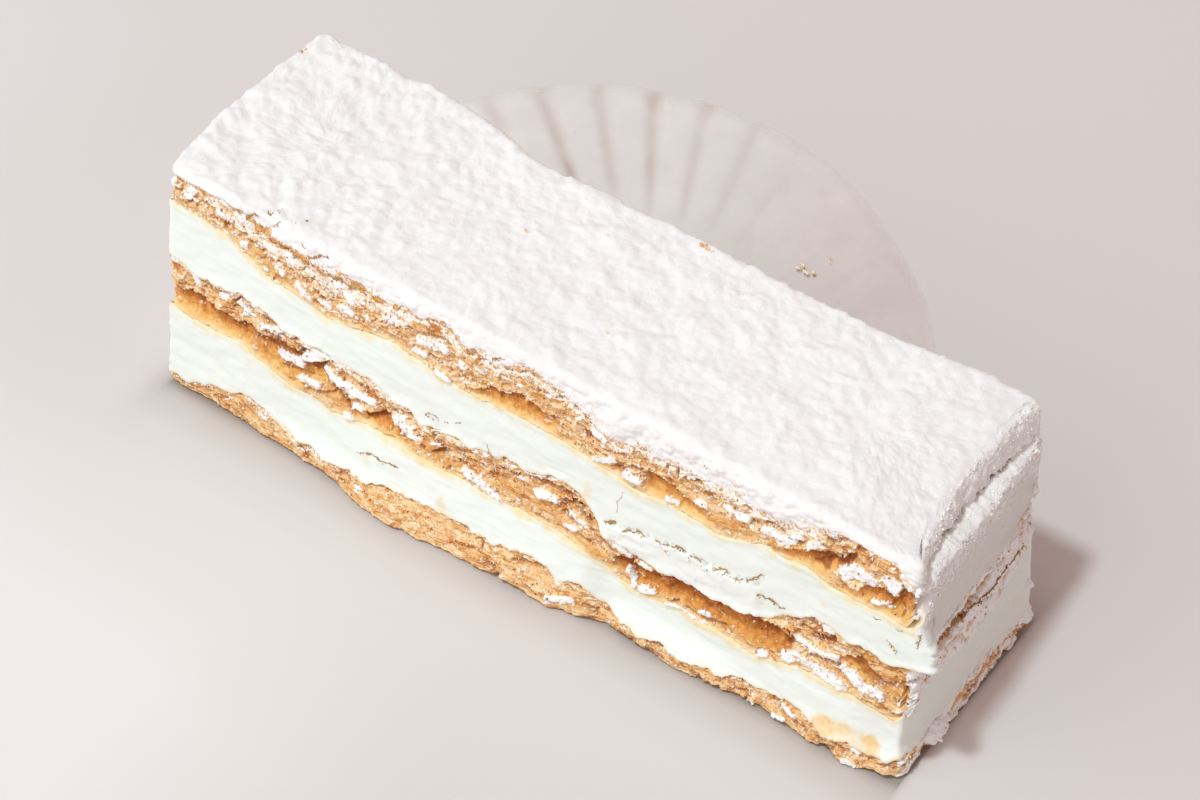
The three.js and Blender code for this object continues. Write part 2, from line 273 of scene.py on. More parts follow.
BOTTOM_FRONT = [(-65.9, 1.3), (-59.7, 1.5), (-55.3, 3.6), (-48.7, 5.1), (-37.7, 2.9), (-33.6, 2.4), (-23.0, 4.3), (-15.3, 5.3), (-6.8, 5.2), (-2.5, 4.9), (1.6, 6.2), (5.7, 6.4), (8.8, 4.7), (11.8, 5.6), (17.3, 2.8), (22.2, 2.2), (29.9, 1.9), (34.7, 2.2), (37.5, 3.1), (41.4, 3.3), (45.2, 4.3), (48.1, 4.6), (50.9, 3.3), (55.3, 3.0), (59.4, 2.9), (63.4, 3.2), (65.5, 4.0)]
# ... and the right end (y, z)
SUGAR_END = [(-18, 37.0), (-14, 36.6), (-8, 36.0), (-3, 34.8), (1.5, 33.6), (5, 34.4), (9, 35.4), (13, 35.6), (17, 35.2)]
CREAM_UP_END = [(-18, 31.4), (-15.5, 34.6), (-12, 37.2), (-5, 36.6), (3, 36.2), (10, 36.4), (17, 35.4)]
MIDDLE_END = [(-18, 23.8), (-12, 24.2), (-8, 24.6), (-4, 24.4), (1, 23.9), (5.6, 23.6), (9, 23.8), (12.3, 25.2), (17, 25.6)]
CREAM_LOW_END = [(-18, 11.4), (-16, 13.5), (-13, 16.2), (-8.6, 16.2), (-2.4, 14.0), (3, 13.6), (8.6, 14.6), (13, 18.0), (17, 19.6)]
BOTTOM_END = [(-18, 3.5), (-12, 3.6), (-5, 4.4), (1.4, 5.4), (5, 5.0), (8.8, 4.6), (15, 4.0), (17, 3.8)]
BACK_MEAN = dict(sugar=38.8, cream_up=30.8, middle=20.9, cream_low=12.4, bottom=4.0)
SIDES = dict(
    sugar=(SUGAR_FRONT, SUGAR_END), cream_up=(CREAM_UP_FRONT, CREAM_UP_END), middle=(MIDDLE_FRONT, MIDDLE_END),
    cream_low=(CREAM_LOW_FRONT, CREAM_LOW_END), bottom=(BOTTOM_FRONT, BOTTOM_END),
)


def end_weight(X, Y):
    """1 on the right end, 0 elsewhere, easing in round the corners."""
    return smooth(HX - CORNER * 0.9, HX - 0.05, X) * smooth(-HY + 0.3, -HY + CORNER * 1.2, Y) * (1 - 0.6 * smooth(HY - CORNER * 1.5, HY - 0.2, Y))


def boundary(name, X, Y, seed):
    """Height of a boundary where it meets the side, for columns at nominal X, Y."""
    front, end = SIDES[name]
    back = BACK_MEAN[name] + 1.1 * perlin(X / 17, 3.3, seed, seed) + 0.7 * perlin(X / 6, 1.3, seed, seed + 1)
    back = back + (end[-1][1] - BACK_MEAN[name]) * smooth(48, 64, X) + (front[0][1] - BACK_MEAN[name]) * 0.3 * smooth(-50, -64, X)
    left0, left1 = front[0][1], float(BACK_MEAN[name] + (front[0][1] - BACK_MEAN[name]) * 0.3)
    v = (Y + HY) / (2 * HY)
    left = left0 + (left1 - left0) * smooth(0.1, 0.9, v) + 0.7 * perlin(Y / 7, 9.1, seed, seed + 2) * np.sin(np.pi * np.clip(v, 0, 1))
    z_front, z_end = through(front, X), through(end, Y)
    side_x = smooth(HX - CORNER, HX, np.abs(X))  # 1 on the ends
    z_long = z_front + (back - z_front) * smooth(0.1, 0.9, v)
    z_short = np.where(X > 0, z_end, left)
    return (z_long + (z_short - z_long) * side_x).astype(np.float32)


# --------------------------------------------------------------------- meshes
def mesh_object(name, verts, quads, tris, attributes=None, smooth_shade=True):
    """A closed mesh from arrays, in millimetres."""
    me = bpy.data.meshes.new(name)
    quads = np.asarray(quads, np.int32).reshape(-1, 4)
    tris = np.asarray(tris, np.int32).reshape(-1, 3)
    loops = np.concatenate([quads.ravel(), tris.ravel()])
    totals = np.concatenate([np.full(len(quads), 4, np.int32), np.full(len(tris), 3, np.int32)])
    starts = np.concatenate([[0], np.cumsum(totals)[:-1]]).astype(np.int32)
    me.vertices.add(len(verts))
    me.vertices.foreach_set("co", (np.asarray(verts, np.float64) * MM).astype(np.float32).ravel())
    me.loops.add(len(loops))
    me.loops.foreach_set("vertex_index", loops)
    me.polygons.add(len(totals))
    me.polygons.foreach_set("loop_start", starts)
    me.polygons.foreach_set("use_smooth", np.full(len(totals), smooth_shade))
    me.update(calc_edges=True)
    for key, values in (attributes or {}).items():
        a = me.attributes.new(key, "FLOAT", "POINT")
        a.data.foreach_set("value", np.asarray(values, np.float32).ravel())
    ob = bpy.data.objects.new(name, me)
    bpy.context.scene.collection.objects.link(ob)
    return ob


def ring_faces(rows, cols):
    """Quads of a tube of rows of cols vertices each, rows going up and columns counter-clockwise."""
    i = np.arange(rows - 1)[:, None] * cols
    j = np.arange(cols)[None, :]
    n = (j + 1) % cols
    return np.stack([i + j, i + n, i + cols + n, i + cols + j], -1).reshape(-1, 4)


def capped(P, attributes, high=None):
    """Closes a tube P[row, column, 3] with a fan at each end; returns verts, quads, tris, attributes."""
    rows, cols = P.shape[:2]
    verts = P.reshape(-1, 3)
    verts = np.concatenate([verts, [P[0].mean(0), P[-1].mean(0) if high is None else high]])
    j = np.arange(cols)
    n = (j + 1) % cols
    a, b = rows * cols, rows * cols + 1
    tris = np.concatenate([
        np.stack([np.full(cols, a), n, j], -1),
        np.stack([np.full(cols, b), (rows - 1) * cols + j, (rows - 1) * cols + n], -1),
    ])
    attributes = {k: np.concatenate([np.asarray(v).reshape(-1), [0, 0]]) for k, v in attributes.items()}
    return verts, ring_faces(rows, cols), tris, attributes


def place(cols, d, z, jut=0.0):
    """Points d outside the nominal outline, at height z; jut moves the right front corner along x."""
    X, Y, NX, NY, F = cols
    x, y = plan(X + NX * d, Y + NY * d, z)
    x = x + jut * smooth(HX - 5, HX - 0.3, X) * (1 - smooth(-HY + 0.5, -HY + 4.5, Y))
    return np.stack([x, y, np.broadcast_to(z, x.shape)], -1).astype(np.float32)


def blob(s, z, spots, soft=0.3, seed=0, rag=1.0):
    """How much the points s, z lie in any of the spots (s, z, width, height), with ragged edges, and the line round them."""
    q = np.full(np.broadcast(s, z).shape, 9.0, np.float32)
    torn = rag * (0.40 * perlin(s / 2.0, z / 1.0, 0.5, seed + 77) + 0.34 * perlin(s / 0.9, z / 0.5, 1.5, seed + 78) + 0.15 * perlin(s / 0.4, z / 0.3, 1.5, seed + 79))
    for t in spots:
        q = np.minimum(q, np.sqrt(((s - t[0]) / (t[2] * 0.5)) ** 2 + ((z - t[1]) / (t[3] * 0.5)) ** 2) + torn)
    return 1 - smooth(1 - soft, 1 + soft * 0.4, q), np.exp(-(((q - 1.05 - soft * 0.4) / 0.10) ** 2))


def powder_field(X, Y, z):
    """Where powder lies at the lower edge of the sugar: shared by the coat and the sheet under it."""
    return fbm(X / 1.9, Y / 1.9, z / 0.85, 3, 0.6, 1717)


# ------------------------------------------------------------------- pastries
def pastry(name, low, high, leaves, cols, seed, painted, patches, caves, hollows, cap, fleck, soak_low=1.0, foot=None, rough=1.0, jut=0.0, pale=0.0, swells=(), void=1.0, dusted=0.0):
    X, Y, NX, NY, F = cols
    M = len(X)
    right = end_weight(X, Y)
    front = F == 0
    coated = high == "sugar"
    if foot is None:
        zl = boundary(low, X, Y, 11)
        zl = zl + 0.26 * perlin(X / 2.4, Y / 2.4, seed, seed) + 0.18 * perlin(X / 0.9, Y / 0.9, seed, seed + 1) + 0.16 * perlin(X / 0.45, Y / 0.45, seed, seed + 80)
    else:
        zl = foot(X, Y)
    top = boundary(high, X, Y, 13 if coated else 12)  # where it stops showing
    zu = top + 0.45 * perlin(X / 2.6, Y / 2.6, seed + 5, seed + 2) + 0.30 * perlin(X / 0.9, Y / 0.9, seed, seed + 3) + 0.26 * perlin(X / 0.45, Y / 0.45, seed, seed + 81)
    if coated:
        zu = np.minimum(zu + 3.0, 41.2)  # runs on under the sugar
    zu = np.maximum(zu, zl + 0.9)
    k = np.arange(leaves)[:, None].astype(np.float32)
    # how thick each leaf is, as it goes round
    w = np.exp(0.55 * perlin(X / 12, Y / 12, k * 3.7, seed + 4) + 0.5 * perlin(X / 5, Y / 5, k * 5.1, seed + 5) + 0.35 * perlin(X / 2.0, Y / 2.0, k * 2.9, seed + 6))
    b = np.concatenate([np.zeros((1, M)), np.cumsum(w, 0)], 0)
    b = b / b[-1:]
    b = b + 0.05 * np.sin(np.pi * b) * perlin(X / 5, Y / 5, b * 2.5, seed + 50)
    zb = zl + (zu - zl) * b
    th = zb[1:] - zb[:-1]
    zc = (zb[1:] + zb[:-1]) / 2
    # how far out each leaf reaches: long torn edges, in chunks that cross several leaves
    chunk = fbm(X / 5.5, Y / 5.5, zc / 2.4, 2, 0.55, seed + 7)
    torn = fbm(X / 3.2 + 3 * k, Y / 3.2, k * 7.7, 3, 0.6, seed + 8)
    step = np.floor(2.5 * perlin(X / 1.8, Y / 1.8, k * 4.3 + 0.5, seed + 9)) / 2.5
    e = rough * (0.62 * chunk + 0.34 * torn + 0.20 * step) - 0.05
    # creases between the leaves
    c = np.empty((leaves + 1, M), np.float32)
    c[1:-1] = np.minimum(e[1:], e[:-1])
    c[0], c[-1] = e[0], e[-1]
    kk = np.arange(leaves + 1)[:, None].astype(np.float32)
    deep = smooth(0.25, 0.75, perlin(X / 4.2, Y / 4.2, kk * 2.1, seed + 10))
    c = c - (0.05 + 0.40 * deep + 0.13 * np.abs(perlin(X / 1.6, Y / 1.6, kk * 3.3, seed + 11)))
    leaf_tone = 0.30 * perlin(X / 3.4, Y / 3.4, k * 5.7, seed + 60) + 0.28 * perlin(X / 1.1, Y / 1.1, k * 3.9, seed + 61) - 0.35 * smooth(0.42, 0.7, perlin(X / 2.6, Y / 2.6, k * 9.1, seed + 62))
    # tone by rows: the middle of each leaf is painted a little lighter and the creases between leaves darker, more
    # where a crease is deeper: painted highlight and painted shade
    rows_d, rows_z, tip, lt = [c[0]], [zb[0]], [0 * X], [leaf_tone[0] - 0.1]
    for i in range(leaves):
        curl = th[i] * (0.30 * perlin(X / 2.4, Y / 2.4, i * 3.1, seed + 12) + 0.18 * perlin(X / 0.9, Y / 0.9, i * 2.3, seed + 13))
        rows_d += [e[i] - 0.05, e[i], c[i + 1]]
        rows_z += [zb[i] + 0.28 * th[i] + curl * 0.6, zb[i] + 0.70 * th[i] + curl, zb[i + 1]]
        tip += [0.6 + 0 * X, 1 + 0 * X, 0 * X]
        lt += [leaf_tone[i], leaf_tone[i] + 0.05, (leaf_tone[i] + leaf_tone[min(i + 1, leaves - 1)]) / 2 - 0.12 - 0.38 * deep[i + 1]]
    d, z, tip, lt = (np.array(v, np.float32) for v in (rows_d, rows_z, tip, lt))
    x0, y0 = plan(X, Y, z)
    s0 = along(x0, y0, F)
    # the listed crevices are cut in and painted dark: painted shade
    dark = stroke_field(s0, z, painted.get("dark", ()), seed + 70)
    leaf = stroke_field(s0, z, painted.get("leaf", ()), seed + 72)
    golden = stroke_field(s0, z, painted.get("gold_and_hollow_shade", ()), seed + 74, 0.25)
    white = stroke_field(s0, z, painted.get("white", ()), seed + 76, 0.45)
    # broken pieces, longer than they are high
    f1, f2, who = worley(X / 3.6, Y / 3.6, z / 1.15, seed + 29)
    joint = 1 - smooth(0.0, 0.22, f2 - f1)
    d = d + rough * (0.46 * (who - 0.5) - 0.14 * joint)
    mean = 0.62 * fbm(X / 5.5, Y / 5.5, z / 2.4, 2, 0.55, seed + 7) * rough - 0.05
    grain = lumps(x0 / 1.6, y0 / 1.6, z * 1.2, 0.9, seed + 30) * 0.22 + lumps(x0 / 1.3, y0 / 1.3, z, 0.5, seed + 31) * 0.14 - 0.14
    d = d + grain * rough
    d = d + 0.28 * leaf
    # where cream has soaked in, the leaves are pressed together
    soak = soak_low * (1 - smooth(0.1, 1.5, z - zl + 0.9 * perlin(X / 2.6, Y / 2.6, z / 1.5, seed + 13)))
    calm = np.maximum(0.75 * soak, 0.8 * golden)
    d = d + (mean * 0.5 + 0.05 + 0.5 * grain - d) * calm
    # powder: lying along the upper edge, in flecks, and in the patches that are listed
    near = top - z
    field = powder_field(X, Y, z) if coated else fbm(X / 1.9, Y / 1.9, z / 0.85, 3, 0.6, seed + 17)
    depth_here = np.where(front, through(cap, x0), 1.0)
    q = (depth_here - near) / 1.3 + 1.6 * field
    flecks = fbm(X / 1.2, Y / 1.2, z / 0.6, 3, 0.6, seed + 18)
    limit = np.where(front, through(fleck, x0) + 0.08, 0.28 - 0.06 * (F == 1))
    patch, patch_rim = blob(s0, z, patches, 0.25, seed)
    patch = np.maximum(patch, white)
    spread = fbm(X / 2.6, Y / 2.6, z / 1.5, 3, 0.6, seed + 17)
    rest = np.where(front, 0.0, np.where(F == 1, smooth(-0.05 - dusted, 0.22 - dusted, spread), 0.9 * smooth(0.36, 0.50, spread)))
    s = np.maximum(np.maximum(np.where(front, 0.60, 0.9) * smooth(-0.9, 0.5, q), 0.85 * smooth(-0.05, 0.12, flecks - limit)), np.maximum(patch, rest * 0.95))
    # rim: dark brown lines along the edge of the powder under the coat and round flecks and patches of powder, and
    # further on along the tops of hollows and in the listed crevices; partly the pastry's baked brown, partly painted
    # shade
    rim = 0.35 * np.exp(-(((q + 0.16) / 0.12) ** 2)) * (near < 3.5) + 0.3 * np.exp(-(((flecks - limit + 0.04) / 0.035) ** 2)) + 0.5 * patch_rim
    rim = np.clip(rim, 0, 1) * smooth(-0.15, 0.35, perlin(X / 2.2, Y / 2.2, z / 1.0, seed + 44))
    # hollows with a leaf over them, and long hollows under a shelf
    cave = np.zeros_like(d)
    # golden places take the middle of the hollows' painted shade ramp: partly the pastry's golden colour, partly
    # painted shade
    gold_and_hollow_shade = 0.85 * golden
    down = np.where(golden > 0.05, 0.50 + 0.22 * perlin(s0 / 1.3, z / 1.0, 0.4, seed + 47), 0).astype(np.float32)
    for cx, cz, wx, wz, depth in caves:
        r = np.sqrt(((s0 - cx) / (wx * 0.5)) ** 2 + ((z - cz) / (wz * 0.5)) ** 2) + 0.32 * perlin(s0 / 1.6, z / 0.8, 2.2, seed + 15) + 0.18 * perlin(s0 / 0.6, z / 0.4, 2.2, seed + 35)
        cave = np.maximum(cave, depth * (1 - smooth(0.6, 1.1, r)))
    for h0, h1, line, low_line, depth in hollows:
        t0 = through(line, s0) + 0.30 * perlin(s0 / 1.4, 0.7, 1.1, seed + 36) + 0.30 * perlin(s0 / 0.55, 0.7, 1.1, seed + 37)
        bot = zl if low_line is None else through(low_line, s0) + 0.45 * perlin(s0 / 2.0, 3.7, 1.1, seed + 38)
        p = (t0 - z) / np.maximum(t0 - bot, 0.4)
        ends = smooth(h0, h0 + 1.6, s0) * (1 - smooth(h1 - 1.8, h1, s0))
        inside = smooth(-0.02, 0.06, p) * (1 - smooth(0.7, 1.0, p)) * ends
        fibre = perlin(s0 / 0.8, z / 1.4, 0.6, seed + 48) + 0.8 * perlin(s0 / 0.5, z / 0.5, 0.6, seed + 49)
        cave = np.maximum(cave, depth * inside * (1.0 - 0.75 * np.clip(p, 0, 1)) + 0.12 * fibre * inside)
        # the hollows are painted as shade: dark brown under the leaf above and golden lower down, by how far below the
        # leaf a point lies
        gold_and_hollow_shade = np.maximum(gold_and_hollow_shade, smooth(-0.02, 0.06, p) * (1 - smooth(0.85, 1.1, p)) * ends)
        down = np.where(inside > 0.01, np.clip(p + 0.16 * fibre, 0, 1) * (0.5 if depth > 1.6 else 0.75) + (0.0 if depth > 1.6 else 0.06), down)
        d = d + 0.35 * np.exp(-((z - t0 - 0.3) / 0.35) ** 2) * ends
        d = d + (mean + 0.1 + 0.9 * grain - d) * 0.6 * inside
        rim = np.maximum(rim * (1 - inside), 0.55 * np.exp(-((z - t0 + 0.1) / 0.16) ** 2) * ends)
    slit = smooth(0.34, 0.56, perlin(X / 3.4, Y / 3.4, z / 0.75, seed + 16)) * np.where(front, 0.45, 1.0) * void * (1 - smooth(0.2, 0.7, patch)) * (1 - calm)
    cave = np.maximum(cave, slit)
    cave = np.maximum(cave, dark * 0.75)
    d = d - cave
    s = s * (1 - soak * (1 - smooth(0.6, 0.9, s))) * (1 - 0.92 * np.clip(cave / 0.7, 0, 1)) * (1 - np.clip(gold_and_hollow_shade * 1.1, 0, 1)) * (1 - 0.85 * leaf)
    s = np.maximum(s, white * (1 - smooth(0.4, 0.8, dark)))
    powder = lumps(x0, y0, z, 1.8, seed + 19) * 0.30 + lumps(x0, y0, z, 0.8, seed + 20) * 0.22
    d = d + np.clip(s, 0, 1) * (np.maximum(mean + 0.12, d) - d + 0.04 + powder)
    d = d + 0.035 * perlin(x0 / 0.35, y0 / 0.35, z / 0.3, seed + 21)
    for cx, cz, wx, wz, amount in swells:
        r = np.sqrt(((s0 - cx) / (wx * 0.5)) ** 2 + ((z - cz) / (wz * 0.5)) ** 2) + 0.3 * perlin(s0 / 1.6, z / 1.6, 2.2, seed + 45) + 0.2 * perlin(s0 / 0.7, z / 0.7, 2.2, seed + 46)
        d = d + amount * (1 - smooth(0.2, 1.0, r)) ** 0.7
    if coated:
        covered = smooth(-0.4, 1.0, z - top)
        d = d + covered * (-0.25 + 0.25 * (d - mean) + mean * 0.3 - d) - 0.5 * smooth(39.6, 41.0, z)
        d = d - 3.9 * right
    tone = 0.56 + lt + 0.18 * fbm(X / 4, Y / 4, z / 1.6 + 2, 2, 0.6, seed + 22) - 0.14 * joint + pale - 0.30 * leaf
    blend = (1 - smooth(-0.15, 1.0, z - zl + 0.50 * perlin(X / 1.8, Y / 1.8, 0.3, seed + 41) + 0.35 * perlin(X / 4.2, Y / 4.2, 0.3, seed + 42))) * (0.0 if foot is not None else 1.0)
    P = place(cols, d, z, jut)
    # closing rings under and over, inside the slice
    inner_low = place(cols, np.minimum(-3.0, d[0] - 1.0), zl + 0.3)
    inner_high = place(cols, np.minimum(-3.0, d[-1] - 1.0), np.maximum(zu - 0.3, zl + 0.6))
    Q = np.concatenate([inner_low[None], P, inner_high[None]], 0)
    pad = lambda v: np.concatenate([v[:1], v, v[-1:]], 0)
    # cav: how far a point lies in from the mean surface; the material paints it amber, then dark brown, as painted
    # shade in recesses
    cav = np.clip((mean + 0.10 - d) / 1.7, 0, 1) if not coated else np.clip((mean + 0.10 - d - 3.9 * right) / 1.7, 0, 1)
    rim = np.maximum(rim * (1 - np.clip(s * 1.3 - 0.3, 0, 1)), dark)
    at = dict(sugar=s, soak=soak, tone=tone, cav=cav, gold_and_hollow_shade=gold_and_hollow_shade, down=down, blend=blend, rim=rim)
    verts, quads, tris, at = capped(Q, {key: pad(v) for key, v in at.items()})
    ob = mesh_object(name, verts, quads, tris, at)
    return ob, dict(P=P, d=d, z=z, s0=s0, sugar=s, soak=soak, cav=cav, gold_and_hollow_shade=gold_and_hollow_shade, tone=tone, zl=zl, zu=top, cols=cols)


# --------------------------------------------------------------------- creams
def cream(name, low, high, cols, seed, rows, smear_low, smear_high, marks=(), ledges=(), jut=(), dusty=4.0, shaded=1.0):
    X, Y, NX, NY, F = cols
    zl = boundary(low, X, Y, 11 if low != "middle" else 12)
    zu = boundary(high, X, Y, 11)
    zl = zl - smear_low * np.clip(perlin(X / 3.4, Y / 3.4, seed, seed) + 0.15, -0.4, 1) - 0.35 * perlin(X / 1.1, Y / 1.1, seed, seed + 1) - 0.2 * perlin(X / 0.5, Y / 0.5, seed, seed + 12)
    zu = zu + smear_high * np.clip(perlin(X / 4.4, Y / 4.4, seed, seed + 2), -0.5, 1) + 0.15 * perlin(X / 1.3, Y / 1.3, seed, seed + 3)
    zu = np.maximum(zu, zl + 1.5)
    t = np.linspace(0, 1, rows)[:, None].astype(np.float32)
    t = t + 0.12 * np.sin(2 * np.pi * t) * -1 * 0.5  # rows closer together at the edges
    z = zl + (zu - zl) * t
    x0, y0 = plan(X, Y, z)
    s0 = along(x0, y0, F)
    # cut by a knife: nearly flat, with long shallow drags
    d = 0.30 * fbm(X / 14, Y / 14, z / 7, 2, 0.5, seed + 4) + 0.12 * perlin(X / 3.3, Y / 3.3, z / 2.0, seed + 5)
    d = d + 0.05 * perlin(X / 6.0, Y / 6.0, z / 0.6, seed + 6) + 0.02 * perlin(X / 0.6, Y / 0.6, z / 0.5, seed + 7)
    edge_low, edge_high = z - zl, zu - z
    # broken edge along the pastry below, smooth edge where it wets the pastry above
    lip = (0.30 + 0.25 * perlin(X / 1.2, Y / 1.2, z / 1.0, seed + 13)) * np.exp(-((edge_low - 0.6) / 0.7) ** 2)
    d = d + lip * smooth(-0.4, 0.4, perlin(X / 5, Y / 5, 1.7, seed + 8)) + 0.12
    d = d - 0.8 * (1 - smooth(0, 0.45, edge_low)) ** 2 - 0.25 * (1 - smooth(0, 0.35, edge_high)) ** 2
    d = d + 0.05 * perlin(x0 / 1.6, y0 / 1.6, z / 1.1, seed + 31) + 0.03 * np.abs(perlin(x0 / 0.9, y0 / 0.9, z / 0.35, seed + 32))
    stain = np.zeros_like(d)
    dark = np.zeros_like(d)
    sugar = np.zeros_like(d)
    for kind, cx, cz, wx, wz, turn, depth in marks:
        ca, sa = math.cos(math.radians(turn)), math.sin(math.radians(turn))
        p, q = (s0 - cx) * ca + (z - cz) * sa, -(s0 - cx) * sa + (z - cz) * ca
        q = q + 0.45 * perlin(p / 1.6, 0.3, cx, seed + 9) + 0.2 * perlin(p / 0.5, 0.3, cx, seed + 14)
        r = np.sqrt((p / (wx * 0.5)) ** 2 + (q / (wz * 0.5)) ** 2)
        inside = 1 - smooth(0.5, 1.15, r + 0.25 * perlin(s0 / 0.9, z / 0.9, 0.2, seed + 15))
        if kind == "arc":
            # part of an oval outline, open upwards
            r = np.sqrt((p / (wx * 0.5)) ** 2 + (q / (wz * 0.5)) ** 2)
            line = np.exp(-(((r - 1) / 0.14) ** 2)) * smooth(-0.3, 0.3, p / (wx * 0.5) - 0.2)
            d = d - depth * line
            dark = np.maximum(dark, line * 0.7)
        elif kind == "crack":
            d = d - depth * inside
            dark = np.maximum(dark, inside * 0.8)
        elif kind == "stain":
            stain = np.maximum(stain, inside * depth)
        else:
            d = d + depth * inside
    for h0, h1, top, depth in ledges:
        # a white shelf along the lower edge, with a dark broken line over it
        zt = through(top, s0) + 0.25 * perlin(s0 / 1.6, 0.1, 0.1, seed + 16) + 0.22 * perlin(s0 / 0.5, 0.1, 0.1, seed + 17)
        ends = smooth(h0, h0 + 1.5, s0) * (1 - smooth(h1 - 1.5, h1, s0))
        inside = (1 - smooth(-0.3, 0.1, z - zt)) * ends
        rough = lumps(x0 / 1.5, y0 / 1.5, z, 2.2, seed + 18) * 0.30 + lumps(x0, y0, z, 1.1, seed + 19) * 0.26 + lumps(x0, y0, z, 0.6, seed + 33) * 0.12
        d = d + inside * (depth + 0.65 * rough)
        d = d - 0.10 * np.exp(-((z - zt - 0.10) / 0.16) ** 2) * ends
        dark = np.maximum(dark, (0.45 + 0.25 * perlin(s0 / 1.4, 0.4, 0.2, seed + 20)) * np.exp(-((z - zt - 0.08) / 0.14) ** 2) * ends)
        sugar = np.maximum(sugar, inside * 0.3)
    # powder blown over the right end from above and over the edge
    fall = end_weight(X, Y) * smooth(0.22, 0.5, 0.7 * fbm(X / 1.5, Y / 1.5, z / 1.5, 3, 0.6, seed + 22) + 0.7 * (1 - smooth(0, dusty, edge_high)) + 0.4 * (1 - smooth(0, 1.3, edge_low)))
    sugar = np.maximum(sugar, fall)
    d = d + fall * (lumps(x0, y0, z, 0.9, seed + 23) * 0.25 + lumps(x0, y0, z, 0.5, seed + 25) * 0.16)
    warm = 0.9 * (1 - smooth(-0.3, 1.7, edge_high + 0.8 * perlin(X / 2.2, Y / 2.2, 3.1, seed + 10) + 0.45 * perlin(X / 0.8, Y / 0.8, 3.1, seed + 24)))
    warm = np.maximum(warm, 0.45 * (1 - smooth(0.0, 1.3, edge_low + 0.8 * perlin(X / 2.4, Y / 2.4, 5.1, seed + 11))))
    warm = warm * (1 - 0.9 * end_weight(X, Y))
    jut_here = through(jut, z) + (0.5 * perlin(0.3, z / 0.8, 0.2, seed + 26) + 0.3 * perlin(0.3, z / 0.35, 0.2, seed + 27)) * (np.abs(through(jut, z)) > 1)
    P = place(cols, d, z, jut_here)
    Q = np.concatenate([place(cols, -3.0 + 0 * X, zl + 0.2)[None], P, place(cols, -3.0 + 0 * X, zu - 0.2)[None]], 0)
    pad = lambda v: np.concatenate([v[:1], v, v[-1:]], 0)
    shade = shaded * end_weight(X, Y) + 0 * z
    at = dict(stain=stain, dark=dark, warm=warm * (1 - sugar), sugar=sugar, shade=shade)
    verts, quads, tris, at = capped(Q, {key: pad(v) for key, v in at.items()})
    ob = mesh_object(name, verts, quads, tris, at)
    return ob, dict(P=P, z=z, s0=s0, sugar=sugar, cols=cols)


# ---------------------------------------------------------------- icing sugar
CRACK_END = [(-18, 38.4), (-13, 38.8), (-8.5, 39.2), (-2.3, 37.7), (2.6, 37.5), (9.8, 37.4), (15, 36.6), (17, 36.4)]
RECESS_END = [(-17, 0.5), (-15, 1.2), (-8, 2.0), (-2, 2.4), (3, 2.0), (8, 1.5), (13, 1.0), (17, 0.4)]


THIN_FRONT = [(-64, 0.9), (-56, 1.2), (-50, 1.5), (-30, 1.5), (-20, 1.3), (-8, 1.2), (0, 1.2), (12, 1.0), (24, 0.9), (40, 0.8), (50, 0.9), (60, 0.6), (65, 0.0)]


